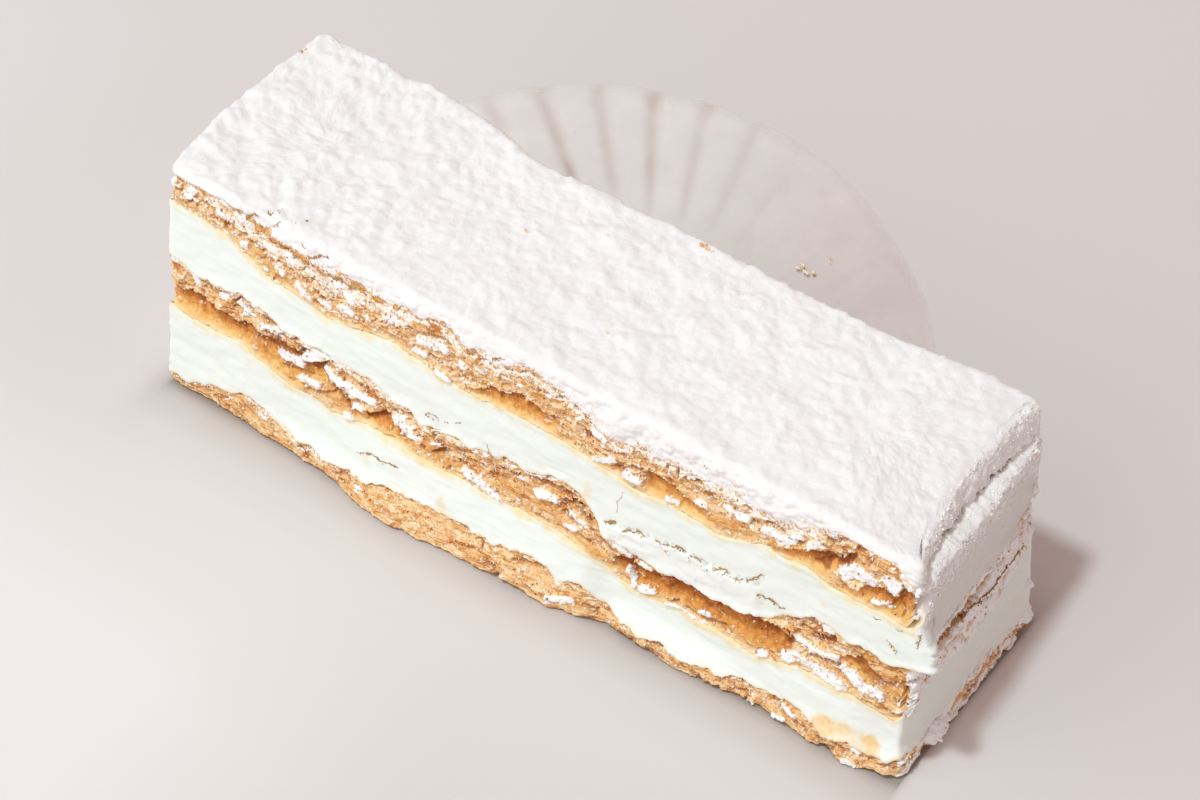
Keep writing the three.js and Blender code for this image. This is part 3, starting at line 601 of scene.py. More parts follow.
def sugar_top(name, counts, seed):
    cols = outline(*counts)
    X, Y, NX, NY, F = cols
    M = len(X)
    right = end_weight(X, Y)
    zs = boundary("sugar", X, Y, 13)
    ROLL, ztop = 1.7, 43.1
    side, arc = 26, 7
    n = side + arc
    t = (np.arange(n) / n)[:, None].astype(np.float32)
    # long sides and left end: hangs over the edge, with a rounded crown
    low = zs - 0.9
    ts = np.clip(np.arange(n) / side, 0, 1)[:, None]
    a = np.clip((np.arange(n) - side) / arc, 0, 1)[:, None] * math.pi / 2
    z_side = low + (np.maximum(ztop - ROLL, low) - low) * ts + ROLL * np.sin(a) + 0 * X
    d_side = 0.30 - ROLL * (1 - np.cos(a)) + 0 * X
    up_side = np.sin(a) ** 1.3 + 0 * X
    # right end: a set-back wall, a crack under it, and a ridge that runs down thinly over the cream
    y_end = plan(X, Y, 40.0 + 0 * X)[1]
    zc = through(CRACK_END, y_end) + 0.5 * perlin(y_end / 2.6, 0.2, 0.4, seed + 30) + 0.3 * perlin(y_end / 0.8, 0.2, 0.4, seed + 31)
    R = through(RECESS_END, y_end) + 0.35 * perlin(y_end / 1.6, 0.8, 0.4, seed + 35)
    ze = np.minimum(zs + 0.7 * perlin(y_end / 1.8, 0.2, 4.4, seed + 36) + 0.4 * perlin(y_end / 0.6, 0.2, 4.4, seed + 37), zc - 1.5)
    zr = np.maximum(zc - 1.0 + 0.4 * perlin(y_end / 1.7, 2.2, 0.4, seed + 38), ze + 0.5)
    gape = smooth(-0.55, 0.15, perlin(y_end / 3.2, 0.9, 0.4, seed + 32) + 0.15)
    keys = [0, 0.10, 0.22, 0.32, 0.40, 0.44, 0.48, 0.54, 0.78, 0.90, 1.0]
    kz = [ze, ze + 0.2 * (zr - ze), zr, zc - 0.4, zc - 0.16 * gape, zc, zc + 0.18 * gape, zc + 0.6, 0 * R + ztop - 1.5, 0 * R + ztop - 0.5, 0 * R + ztop]
    kd = [0 * R - 0.12, 0 * R + 0.20, 0.50 + 0 * R, 0.10 - 0.3 * R, -0.8 * R - 0.1 * gape, -R - 0.42 * gape, -R - 0.25 * gape, -R + 0.1, -R, -R - 0.4, -R - 1.5]
    z_end, d_end = np.empty((n, M), np.float32), np.empty((n, M), np.float32)
    for i in range(n):
        f = float(t[i, 0])
        m = max(q for q in range(len(keys) - 1) if keys[q] <= f)
        g = (f - keys[m]) / (keys[m + 1] - keys[m])
        z_end[i] = kz[m] + (kz[m + 1] - kz[m]) * g
        d_end[i] = kd[m] + (kd[m + 1] - kd[m]) * g
    up_end = smooth(0.78, 1.0, t) + 0 * X
    # crack: the line of the gap under the set-back wall on the right end; the coat is painted dark brown-grey along it
    # as painted shade, and its grains are left out there
    crack = 1.2 * np.exp(-(((t - 0.445) / 0.028) ** 2)) * gape * right * smooth(-0.45, 0.1, perlin(y_end / 1.1, 0.3, 0.4, seed + 39))
    d = d_side + (d_end - d_side) * right
    z = z_side + (z_end - z_side) * right
    up = up_side + (up_end - up_side) * right
    # the first row is tucked in behind
    d = np.concatenate([(d[:1] - 2.0), d]); z = np.concatenate([z[:1] + 0.4, z]); up = np.concatenate([up[:1], up]); crack = np.concatenate([0 * crack[:1], crack])
    # plan of every row: sides step out along the normal, the top closes in on the middle line
    PX, PY = X + NX * d, Y + NY * d
    mx, my = np.clip(X, -HX + HY, HX - HY), 0 * Y
    inward = np.concatenate([np.arange(ROLL - 0.3, HY - 0.4, 0.31), [HY]])
    for q in inward:
        share = (q - inward[0]) / (HY - inward[0])
        from_end = (R + 1.8) + (HY - R - 1.8) * share
        amount = (q + (from_end - q) * right) / HY
        PX = np.concatenate([PX, (X + (mx - X) * amount)[None]])
        PY = np.concatenate([PY, (Y + (my - Y) * amount)[None]])
        z = np.concatenate([z, np.full((1, M), ztop, np.float32)])
        up = np.concatenate([up, np.ones((1, M), np.float32)])
        crack = np.concatenate([crack, np.zeros((1, M), np.float32)])
    rows = len(z)
    row = np.arange(rows)[:, None]
    # relief: soft heaps of powder, more like nodules at the left end
    left = 1 - smooth(-52, -8, PX)
    wx, wy = 0.6 * perlin(PX / 3.4, PY / 3.4, z / 4, seed + 20), 0.6 * perlin(PX / 3.4, PY / 3.4, z / 4 + 9, seed + 21)
    QX, QY = PX + wx, PY + wy
    relief = 0.30 * fbm(PX / 12, PY / 12, 0.3, 2, 0.5, seed + 3) + 0.26 * mounds(PX, PY, z, 8.5, seed + 12) + 0.50 * mounds(QX, QY, z, 4.8, seed + 4) + 0.30 * mounds(PX, PY, z, 2.6, seed + 5)
    relief = relief + 0.18 * lumps(PX, PY, z, 1.7, seed + 6) + 0.11 * lumps(PX, PY, z, 0.9, seed + 7) + 0.035 * perlin(PX / 0.5, PY / 0.5, z / 0.5, seed + 8)
    relief = relief + left * (0.44 * mounds(PX, PY, z, 3.2, seed + 9) + 0.34 * lumps(PX, PY, z, 2.0, seed + 10) + 0.12 * lumps(PX, PY, z, 1.0, seed + 11)) - 0.66 - 0.34 * left
    hollow = relief + 0
    sideways = np.clip(1 - up, 0, 1)
    crown = np.exp(-((up - 0.55) / 0.4) ** 2)
    snow = lumps(PX, PY, z, 1.7, seed + 40) * 0.40 + lumps(PX, PY, z, 0.85, seed + 41) * 0.28
    relief = relief + np.maximum(sideways, 1.25 * crown) * (snow - 0.20)
    # the hanging edge thins out, in tongues and islands
    cover = smooth(0.50, 0.80, (0.45 + (z - zs)) / 1.3 + 1.6 * powder_field(X, Y, z)) + right
    cover = np.where(row > side, 1.0, np.clip(cover, 0, 1))
    above = smooth(-0.5, 2.2, z - zs) * (1 - right) + right
    granular = (0.55 * lumps(PX, PY, z, 1.5, seed + 33) + 0.35 * lumps(PX, PY, z, 0.8, seed + 34) + 0.12 * perlin(PX / 0.3, PY / 0.3, z / 0.3, seed + 42) - 0.26) * right * sideways
    out = sideways * (relief * (0.25 + 0.75 * above) * (1 - 0.6 * right) - 0.22 * (1 - above)) + granular * (1 - 0.9 * np.clip(crack * 1.5, 0, 1))
    out = out * cover - 1.1 * (1 - cover) * sideways
    out[0] = 0
    PX, PY, z = PX + NX * out, PY + NY * out, z + np.clip(up, 0, 1) * relief
    z = np.minimum(z, HEIGHT + 0.75)
    x, y = plan(PX, PY, z)
    P = np.stack([x, y, z], -1).astype(np.float32)
    # dim: painted shade on the coat, greater toward the right end on top, in the dips of the relief and along the front
    # crown
    dim = np.maximum(smooth(30, 64, PX) * np.clip(up, 0, 1), 0.45 * smooth(0.12, -0.22, hollow) * np.clip(up, 0, 1))
    dim = np.maximum(dim, 0.55 * crown * (1 - right) * (F == 0))
    # powder so thin along the lower edge that the pastry shows through
    thin = (1 - smooth(0.0, 3.4, z - zs + 1.3 * perlin(x / 2.6, z / 1.6, 0.5, seed + 50))) * (1 - right) * (row <= side) * np.where(F == 0, through(THIN_FRONT, x), 0.6)
    # the last ring is the middle line: front and back columns meet there, and each end comes to one point
    k = np.arange(M)
    start_back = counts[0] + counts[1] + 8
    meet = np.where(F == 2, counts[0] - (k - start_back), k)
    ends = np.abs(X) >= HX - HY - 0.01
    meet = np.where(ends & (X > 0), k[ends & (X > 0)][0], np.where(ends, k[ends & (X < 0)][0], meet))
    target = np.arange(rows * M)
    target[(rows - 1) * M:] = (rows - 1) * M + meet
    quads = target[ring_faces(rows, M)]
    flat = quads[:, 2] == quads[:, 3]
    tris = np.concatenate([quads[flat][:, [0, 1, 2]], np.stack([np.full(M, rows * M), (k + 1) % M, k], -1)])
    quads = quads[~flat]
    verts = np.concatenate([P.reshape(-1, 3), P[0].mean(0)[None]])
    used = np.zeros(len(verts), bool)
    used[quads.ravel()] = True
    used[tris.ravel()] = True
    new = np.cumsum(used) - 1
    # end marks the right end's sides, where the coat is painted its brightest white: painted light on a face the lamps
    # leave in shade
    at = dict(crack=crack, end=right * sideways, dim=dim, thin=thin)
    at = {key: np.concatenate([v.ravel(), [0]])[used] for key, v in at.items()}
    ob = mesh_object(name, verts[used], new[quads], new[tris], at)
    return ob, dict(P=P, up=up, zs=zs, cols=cols, s0=along(x, y, F), right=right)


# -------------------------------------------------- loose flakes, lumps, grains
def ball(levels):
    """Vertices and triangles of a round ball: an octahedron at level 0, otherwise an icosahedron split levels - 1 times."""
    if levels == 0:
        v = np.array([[1, 0, 0], [-1, 0, 0], [0, 1, 0], [0, -1, 0], [0, 0, 1], [0, 0, -1]], float)
        f = [[0, 2, 4], [2, 1, 4], [1, 3, 4], [3, 0, 4], [2, 0, 5], [1, 2, 5], [3, 1, 5], [0, 3, 5]]
        return v, np.array(f)
    p = (1 + 5 ** 0.5) / 2
    v = [[-1, p, 0], [1, p, 0], [-1, -p, 0], [1, -p, 0], [0, -1, p], [0, 1, p], [0, -1, -p], [0, 1, -p], [p, 0, -1], [p, 0, 1], [-p, 0, -1], [-p, 0, 1]]
    f = [[0, 11, 5], [0, 5, 1], [0, 1, 7], [0, 7, 10], [0, 10, 11], [1, 5, 9], [5, 11, 4], [11, 10, 2], [10, 7, 6], [7, 1, 8], [3, 9, 4], [3, 4, 2], [3, 2, 6], [3, 6, 8], [3, 8, 9], [4, 9, 5], [2, 4, 11], [6, 2, 10], [8, 6, 7], [9, 8, 1]]
    v = [list(np.array(q) / np.linalg.norm(q)) for q in v]
    for _ in range(levels - 1):
        mids, g = {}, []

        def mid(a, b):
            key = (min(a, b), max(a, b))
            if key not in mids:
                q = np.array(v[a]) + np.array(v[b])
                v.append(list(q / np.linalg.norm(q)))
                mids[key] = len(v) - 1
            return mids[key]

        for a, b, c in f:
            ab, bc, ca = mid(a, b), mid(b, c), mid(c, a)
            g += [[a, ab, ca], [b, bc, ab], [c, ca, bc], [ab, bc, ca]]
        f = g
    return np.array(v), np.array(f)


def balls(centres, radii, level, rough, seed):
    """Lumpy balls at centres (n, 3) with radii (n, 3), turned at random."""
    v, f = ball(level)
    n = len(centres)
    a = rng.uniform(0, 2 * np.pi, n)
    tilt = rng.uniform(-0.5, 0.5, n)
    off = rng.uniform(0, 50, (n, 3))
    p = v[None] * 1.0
    q = p * 1.3 + off[:, None]
    r = 1 + rough * perlin(q[..., 0], q[..., 1], q[..., 2], seed) + rough * 0.5 * perlin(q[..., 0] * 2.3, q[..., 1] * 2.3, q[..., 2] * 2.3, seed + 1)
    p = p * r[..., None] * radii[:, None]
    x = p[..., 0] * np.cos(tilt)[:, None] - p[..., 2] * np.sin(tilt)[:, None]
    z = p[..., 0] * np.sin(tilt)[:, None] + p[..., 2] * np.cos(tilt)[:, None]
    y = p[..., 1]
    X = x * np.cos(a)[:, None] - y * np.sin(a)[:, None]
    Y = x * np.sin(a)[:, None] + y * np.cos(a)[:, None]
    verts = (np.stack([X, Y, z], -1) + centres[:, None]).reshape(-1, 3)
    tris = (f[None] + (np.arange(n) * len(v))[:, None, None]).reshape(-1, 3)
    return verts, tris


def plates(centre, tangent, outward, length, width, thick, yaw, roll, pitch, bend):
    """Thin torn plates: length along tangent, width along outward, then turned."""
    K = 7
    n = len(centre)
    ang = (np.arange(K) / K * 2 * np.pi)[None] + rng.normal(0, 0.2, (n, K))
    rad = rng.uniform(0.5, 1.05, (n, K))
    p, q = np.cos(ang) * rad * length[:, None] / 2, np.sin(ang) * rad * width[:, None] / 2
    up = np.cross(tangent, outward)
    up = np.where(up[:, 2:3] < 0, -up, up)

    def turn(a, b, t):
        return a * np.cos(t)[:, None] + b * np.sin(t)[:, None], -a * np.sin(t)[:, None] + b * np.cos(t)[:, None]

    t1, o1 = turn(tangent, outward, yaw)
    o2, u2 = turn(o1, up, roll)
    t3, u3 = turn(t1, u2, pitch)
    h = bend[:, None] * (p / length[:, None] * 2) ** 2
    rim = centre[:, None] + p[..., None] * t3[:, None] + q[..., None] * o2[:, None]
    half = (thick / 2)[:, None, None] * u3[:, None]
    top = rim + half * 0.8 + h[..., None] * u3[:, None]
    bot = rim - half * 0.8 + h[..., None] * u3[:, None]
    ct = centre[:, None] + half
    cb = centre[:, None] - half
    verts = np.concatenate([top, bot, ct, cb], 1).reshape(-1, 3)
    i = np.arange(K)
    j = (i + 1) % K
    f = np.concatenate([
        np.stack([np.full(K, 2 * K), i, j], -1), np.stack([np.full(K, 2 * K + 1), K + j, K + i], -1),
        np.stack([i, K + i, K + j], -1), np.stack([i, K + j, j], -1)])
    tris = (f[None] + (np.arange(n) * (2 * K + 2))[:, None, None]).reshape(-1, 3)
    return verts, tris, 2 * K + 2


# What the long cut side shows, in mm: dark crevices (cut in and painted dark: painted shade), loose brown leaves,
# golden places (partly the pastry's golden colour, partly painted shade of shadowed hollows) and patches of powder, as
# (width, strength, line)
TOP_DARK = [(0.43, 0.8, [(-59.3, 37.7), (-58.5, 38.6)]), (0.68, 0.8, [(-52.3, 37.3), (-51.8, 37.2)]), (0.51, 0.7, [(-49.5, 37.3), (-48.6, 37.4)]), (0.68, 0.8, [(-48.1, 36.5), (-47.1, 36.7)]), (0.34, 0.6, [(-44.7, 38.6), (-42.9, 38.3), (-41.0, 38.9), (-39.9, 38.4), (-39.1, 38.3), (-38.1, 37.6), (-37.9, 36.4)]), (0.34, 0.5, [(-46.1, 34.1), (-44.9, 35.0), (-43.0, 35.5), (-41.5, 35.2), (-40.0, 35.4)]), (0.51, 0.6, [(-38.2, 34.7), (-36.0, 35.6), (-35.4, 35.3)]), (0.6, 0.9, [(-35.1, 33.2), (-34.4, 33.0)]), (0.34, 0.7, [(-26.9, 32.8), (-25.5, 32.7), (-24.6, 32.7)]), (0.51, 0.6, [(-25.1, 34.3), (-24.2, 34.7)]), (0.43, 0.9, [(-19.2, 36.0), (-18.4, 36.7)]), (0.43, 0.95, [(-16.8, 36.7), (-15.1, 37.3), (-13.3, 38.0), (-12.2, 37.7), (-11.3, 36.8)]), (0.34, 0.6, [(-17.7, 33.9), (-15.9, 34.3)]), (0.85, 0.9, [(-15.4, 33.3), (-14.8, 33.1)]), (0.43, 0.6, [(-13.1, 33.5), (-12.2, 33.8)]), (0.43, 0.7, [(-10.7, 31.9), (-8.9, 32.3), (-7.8, 32.8)]), (0.6, 0.8, [(-8.3, 30.9), (-7.1, 31.4), (-6.1, 32.1)]), (0.85, 0.95, [(-4.6, 33.6), (-3.5, 33.6)]), (0.85, 0.7, [(-3.5, 33.6), (-1.4, 33.8), (0.6, 34.4)]), (0.51, 0.8, [(4.8, 33.3), (6.3, 34.1)]), (0.43, 0.9, [(7.6, 34.3), (8.0, 34.4)]), (0.68, 1, [(11.0, 33.9), (11.7, 33.9)]), (0.43, 0.7, [(13.9, 33.3), (15.0, 33.1), (16.7, 33.8), (18.0, 34.0)]), (0.85, 0.9, [(16.8, 31.3), (17.6, 31.4)]), (0.85, 1, [(19.2, 32.9), (20.2, 33.0), (21.1, 32.9)]), (0.68, 1, [(21.6, 33.6), (22.2, 33.7)]), (1.53, 0.8, [(22.7, 33.2), (24.7, 33.1), (26.3, 32.8)]), (0.51, 0.8, [(17.6, 36.7), (18.4, 36.7), (19.3, 36.6)]), (0.43, 0.8, [(24.8, 36.5), (24.9, 36.1)]), (0.43, 0.8, [(26.4, 37.6), (26.7, 35.8)]), (0.51, 0.8, [(27.8, 36.3), (28.2, 35.8)]), (0.68, 0.9, [(29.4, 36.5), (30.1, 36.8)]), (0.85, 1, [(31.1, 35.0), (31.9, 35.1), (32.4, 34.8)]), (0.51, 0.7, [(35.9, 35.3), (36.3, 35.0)]), (0.51, 0.7, [(37.5, 37.0), (38.3, 36.9)]), (0.51, 0.9, [(38.7, 34.7), (39.4, 34.9)]), (0.6, 0.9, [(41.0, 36.2), (41.8, 36.4)]), (0.51, 0.9, [(42.7, 36.3), (43.7, 36.0)]), (0.51, 0.9, [(44.7, 35.8), (45.0, 35.7)]), (0.68, 0.9, [(45.8, 35.9), (46.4, 35.6)]), (0.51, 0.8, [(41.6, 32.0), (42.3, 31.6)]), (1.36, 0.9, [(48.4, 35.2), (49.6, 35.4), (51.0, 36.0)]), (0.85, 0.9, [(49.2, 33.8), (50.4, 33.2), (50.7, 35.0), (52.0, 36.3)]), (1.19, 1, [(52.5, 35.7), (53.4, 36.9), (54.1, 38.0)]), (0.51, 0.6, [(50.9, 36.1), (53.1, 38.0), (54.6, 38.9)]), (0.51, 0.7, [(49.9, 39.3), (51.0, 38.6), (51.5, 39.5), (53.4, 40.7)]), (0.68, 0.7, [(54.8, 39.8), (55.2, 41.1), (55.7, 40.5)]), (0.68, 0.8, [(56.6, 33.9), (58.8, 35.0), (60.0, 34.9), (61.4, 35.0)]), (0.51, 0.8, [(61.8, 36.1), (62.4, 37.6), (63.2, 37.5), (63.7, 36.9), (64.7, 37.3)]), (0.43, 0.8, [(62.4, 34.2), (62.8, 33.2), (62.6, 32.1)]), (0.51, 0.6, [(53.0, 33.0), (54.3, 32.9), (55.4, 33.0)]), (0.43, 0.6, [(57.3, 31.3), (59.1, 31.8), (61.5, 34.3), (62.3, 35.5)])]
TOP_LEAF = [(1.53, 0.8, [(-18.0, 37.1), (-16.2, 38.0), (-14.1, 38.9)]), (1.36, 0.8, [(-9.8, 36.2), (-8.4, 36.4), (-6.8, 36.8)]), (2.04, 0.7, [(55.6, 39.6), (57.2, 39.4), (59.0, 39.5), (60.9, 40.5)]), (1.7, 0.5, [(52.0, 38.1), (53.8, 39.7), (55.0, 39.9)]), (1.36, 0.4, [(-2.3, 36.8), (0.2, 37.4), (1.9, 37.1)]), (1.02, 0.4, [(6.4, 37.5), (9.1, 36.8), (11.3, 36.3)])]
TOP_GOLD = [(2.72, 1, [(-3.6, 30.8), (-0.5, 32.1), (2.0, 32.7), (5.1, 32.5)]), (2.38, 1, [(23.1, 32.1), (25.6, 31.7), (28.8, 31.7)]), (2.04, 0.9, [(32.9, 31.4), (35.3, 32.0), (37.7, 32.6)]), (2.72, 1, [(42.5, 32.2), (45.6, 33.3), (48.0, 33.2), (49.7, 32.3)]), (2.38, 1, [(53.8, 31.2), (56.0, 31.5), (57.6, 31.0)]), (2.38, 0.9, [(59.2, 30.9), (62.1, 32.2), (64.2, 34.4)]), (1.7, 0.8, [(-47.9, 35.5), (-45.7, 34.7), (-43.9, 33.4), (-41.5, 32.6)])]
TOP_WHITE = [(1.7, 1, [(-59.6, 39.0), (-58.8, 39.8)]), (1.02, 1, [(-62.4, 39.9), (-62.1, 39.4)]), (1.19, 1, [(-53.6, 38.8), (-52.7, 38.6)]), (1.36, 1, [(-49.4, 35.5), (-48.7, 35.5)]), (1.19, 1, [(-40.8, 37.9), (-39.8, 37.2)]), (1.53, 1, [(-50.0, 40.8), (-49.2, 40.2)]), (1.19, 0.9, [(-43.0, 34.5), (-41.9, 33.8)]), (1.36, 1, [(-39.1, 33.2), (-38.2, 32.2), (-37.0, 31.9)]), (1.53, 1, [(-34.8, 32.4), (-33.8, 32.2)]), (1.53, 1, [(-31.1, 33.2), (-29.6, 33.2)]), (1.53, 1, [(-33.2, 37.9), (-31.9, 37.2)]), (1.53, 1, [(-30.3, 36.1), (-29.2, 35.7)]), (1.53, 0.9, [(-23.3, 35.9), (-21.5, 36.5), (-20.7, 36.1)]), (2.04, 1, [(-17.1, 35.1), (-15.0, 36.0), (-12.7, 36.2)]), (1.19, 1, [(-18.2, 32.6), (-16.2, 32.9)]), (1.36, 1, [(-14.1, 30.9), (-12.4, 30.6)]), (1.36, 1, [(-9.9, 34.8), (-9.4, 34.7)]), (1.19, 1, [(-7.1, 35.8), (-6.3, 35.8)]), (1.36, 0.9, [(13.0, 35.4), (14.2, 35.0)]), (1.19, 0.8, [(12.8, 30.6), (14.3, 31.0), (16.1, 32.3)]), (1.87, 1, [(18.5, 30.7), (20.0, 30.9)]), (1.02, 0.8, [(25.1, 30.2), (26.6, 30.2)]), (1.36, 1, [(29.9, 32.8), (31.1, 33.1)]), (1.19, 1, [(34.5, 34.8), (35.3, 34.7)]), (1.36, 1, [(36.5, 34.5), (37.9, 35.0)]), (2.21, 1, [(41.3, 34.7), (42.4, 34.5)]), (1.87, 0.9, [(42.9, 34.1), (44.7, 35.1), (45.7, 36.4)]), (1.36, 0.9, [(47.8, 36.2), (49.0, 37.2)]), (2.72, 1, [(53.5, 34.8), (55.3, 36.0), (57.2, 35.9)]), (2.38, 1, [(60.1, 37.3), (61.3, 36.7)]), (1.02, 1, [(58.0, 32.0), (58.9, 32.3)]), (1.02, 1, [(59.6, 32.8), (60.4, 32.9)]), (1.36, 1, [(62.2, 39.8), (63.7, 39.9)])]
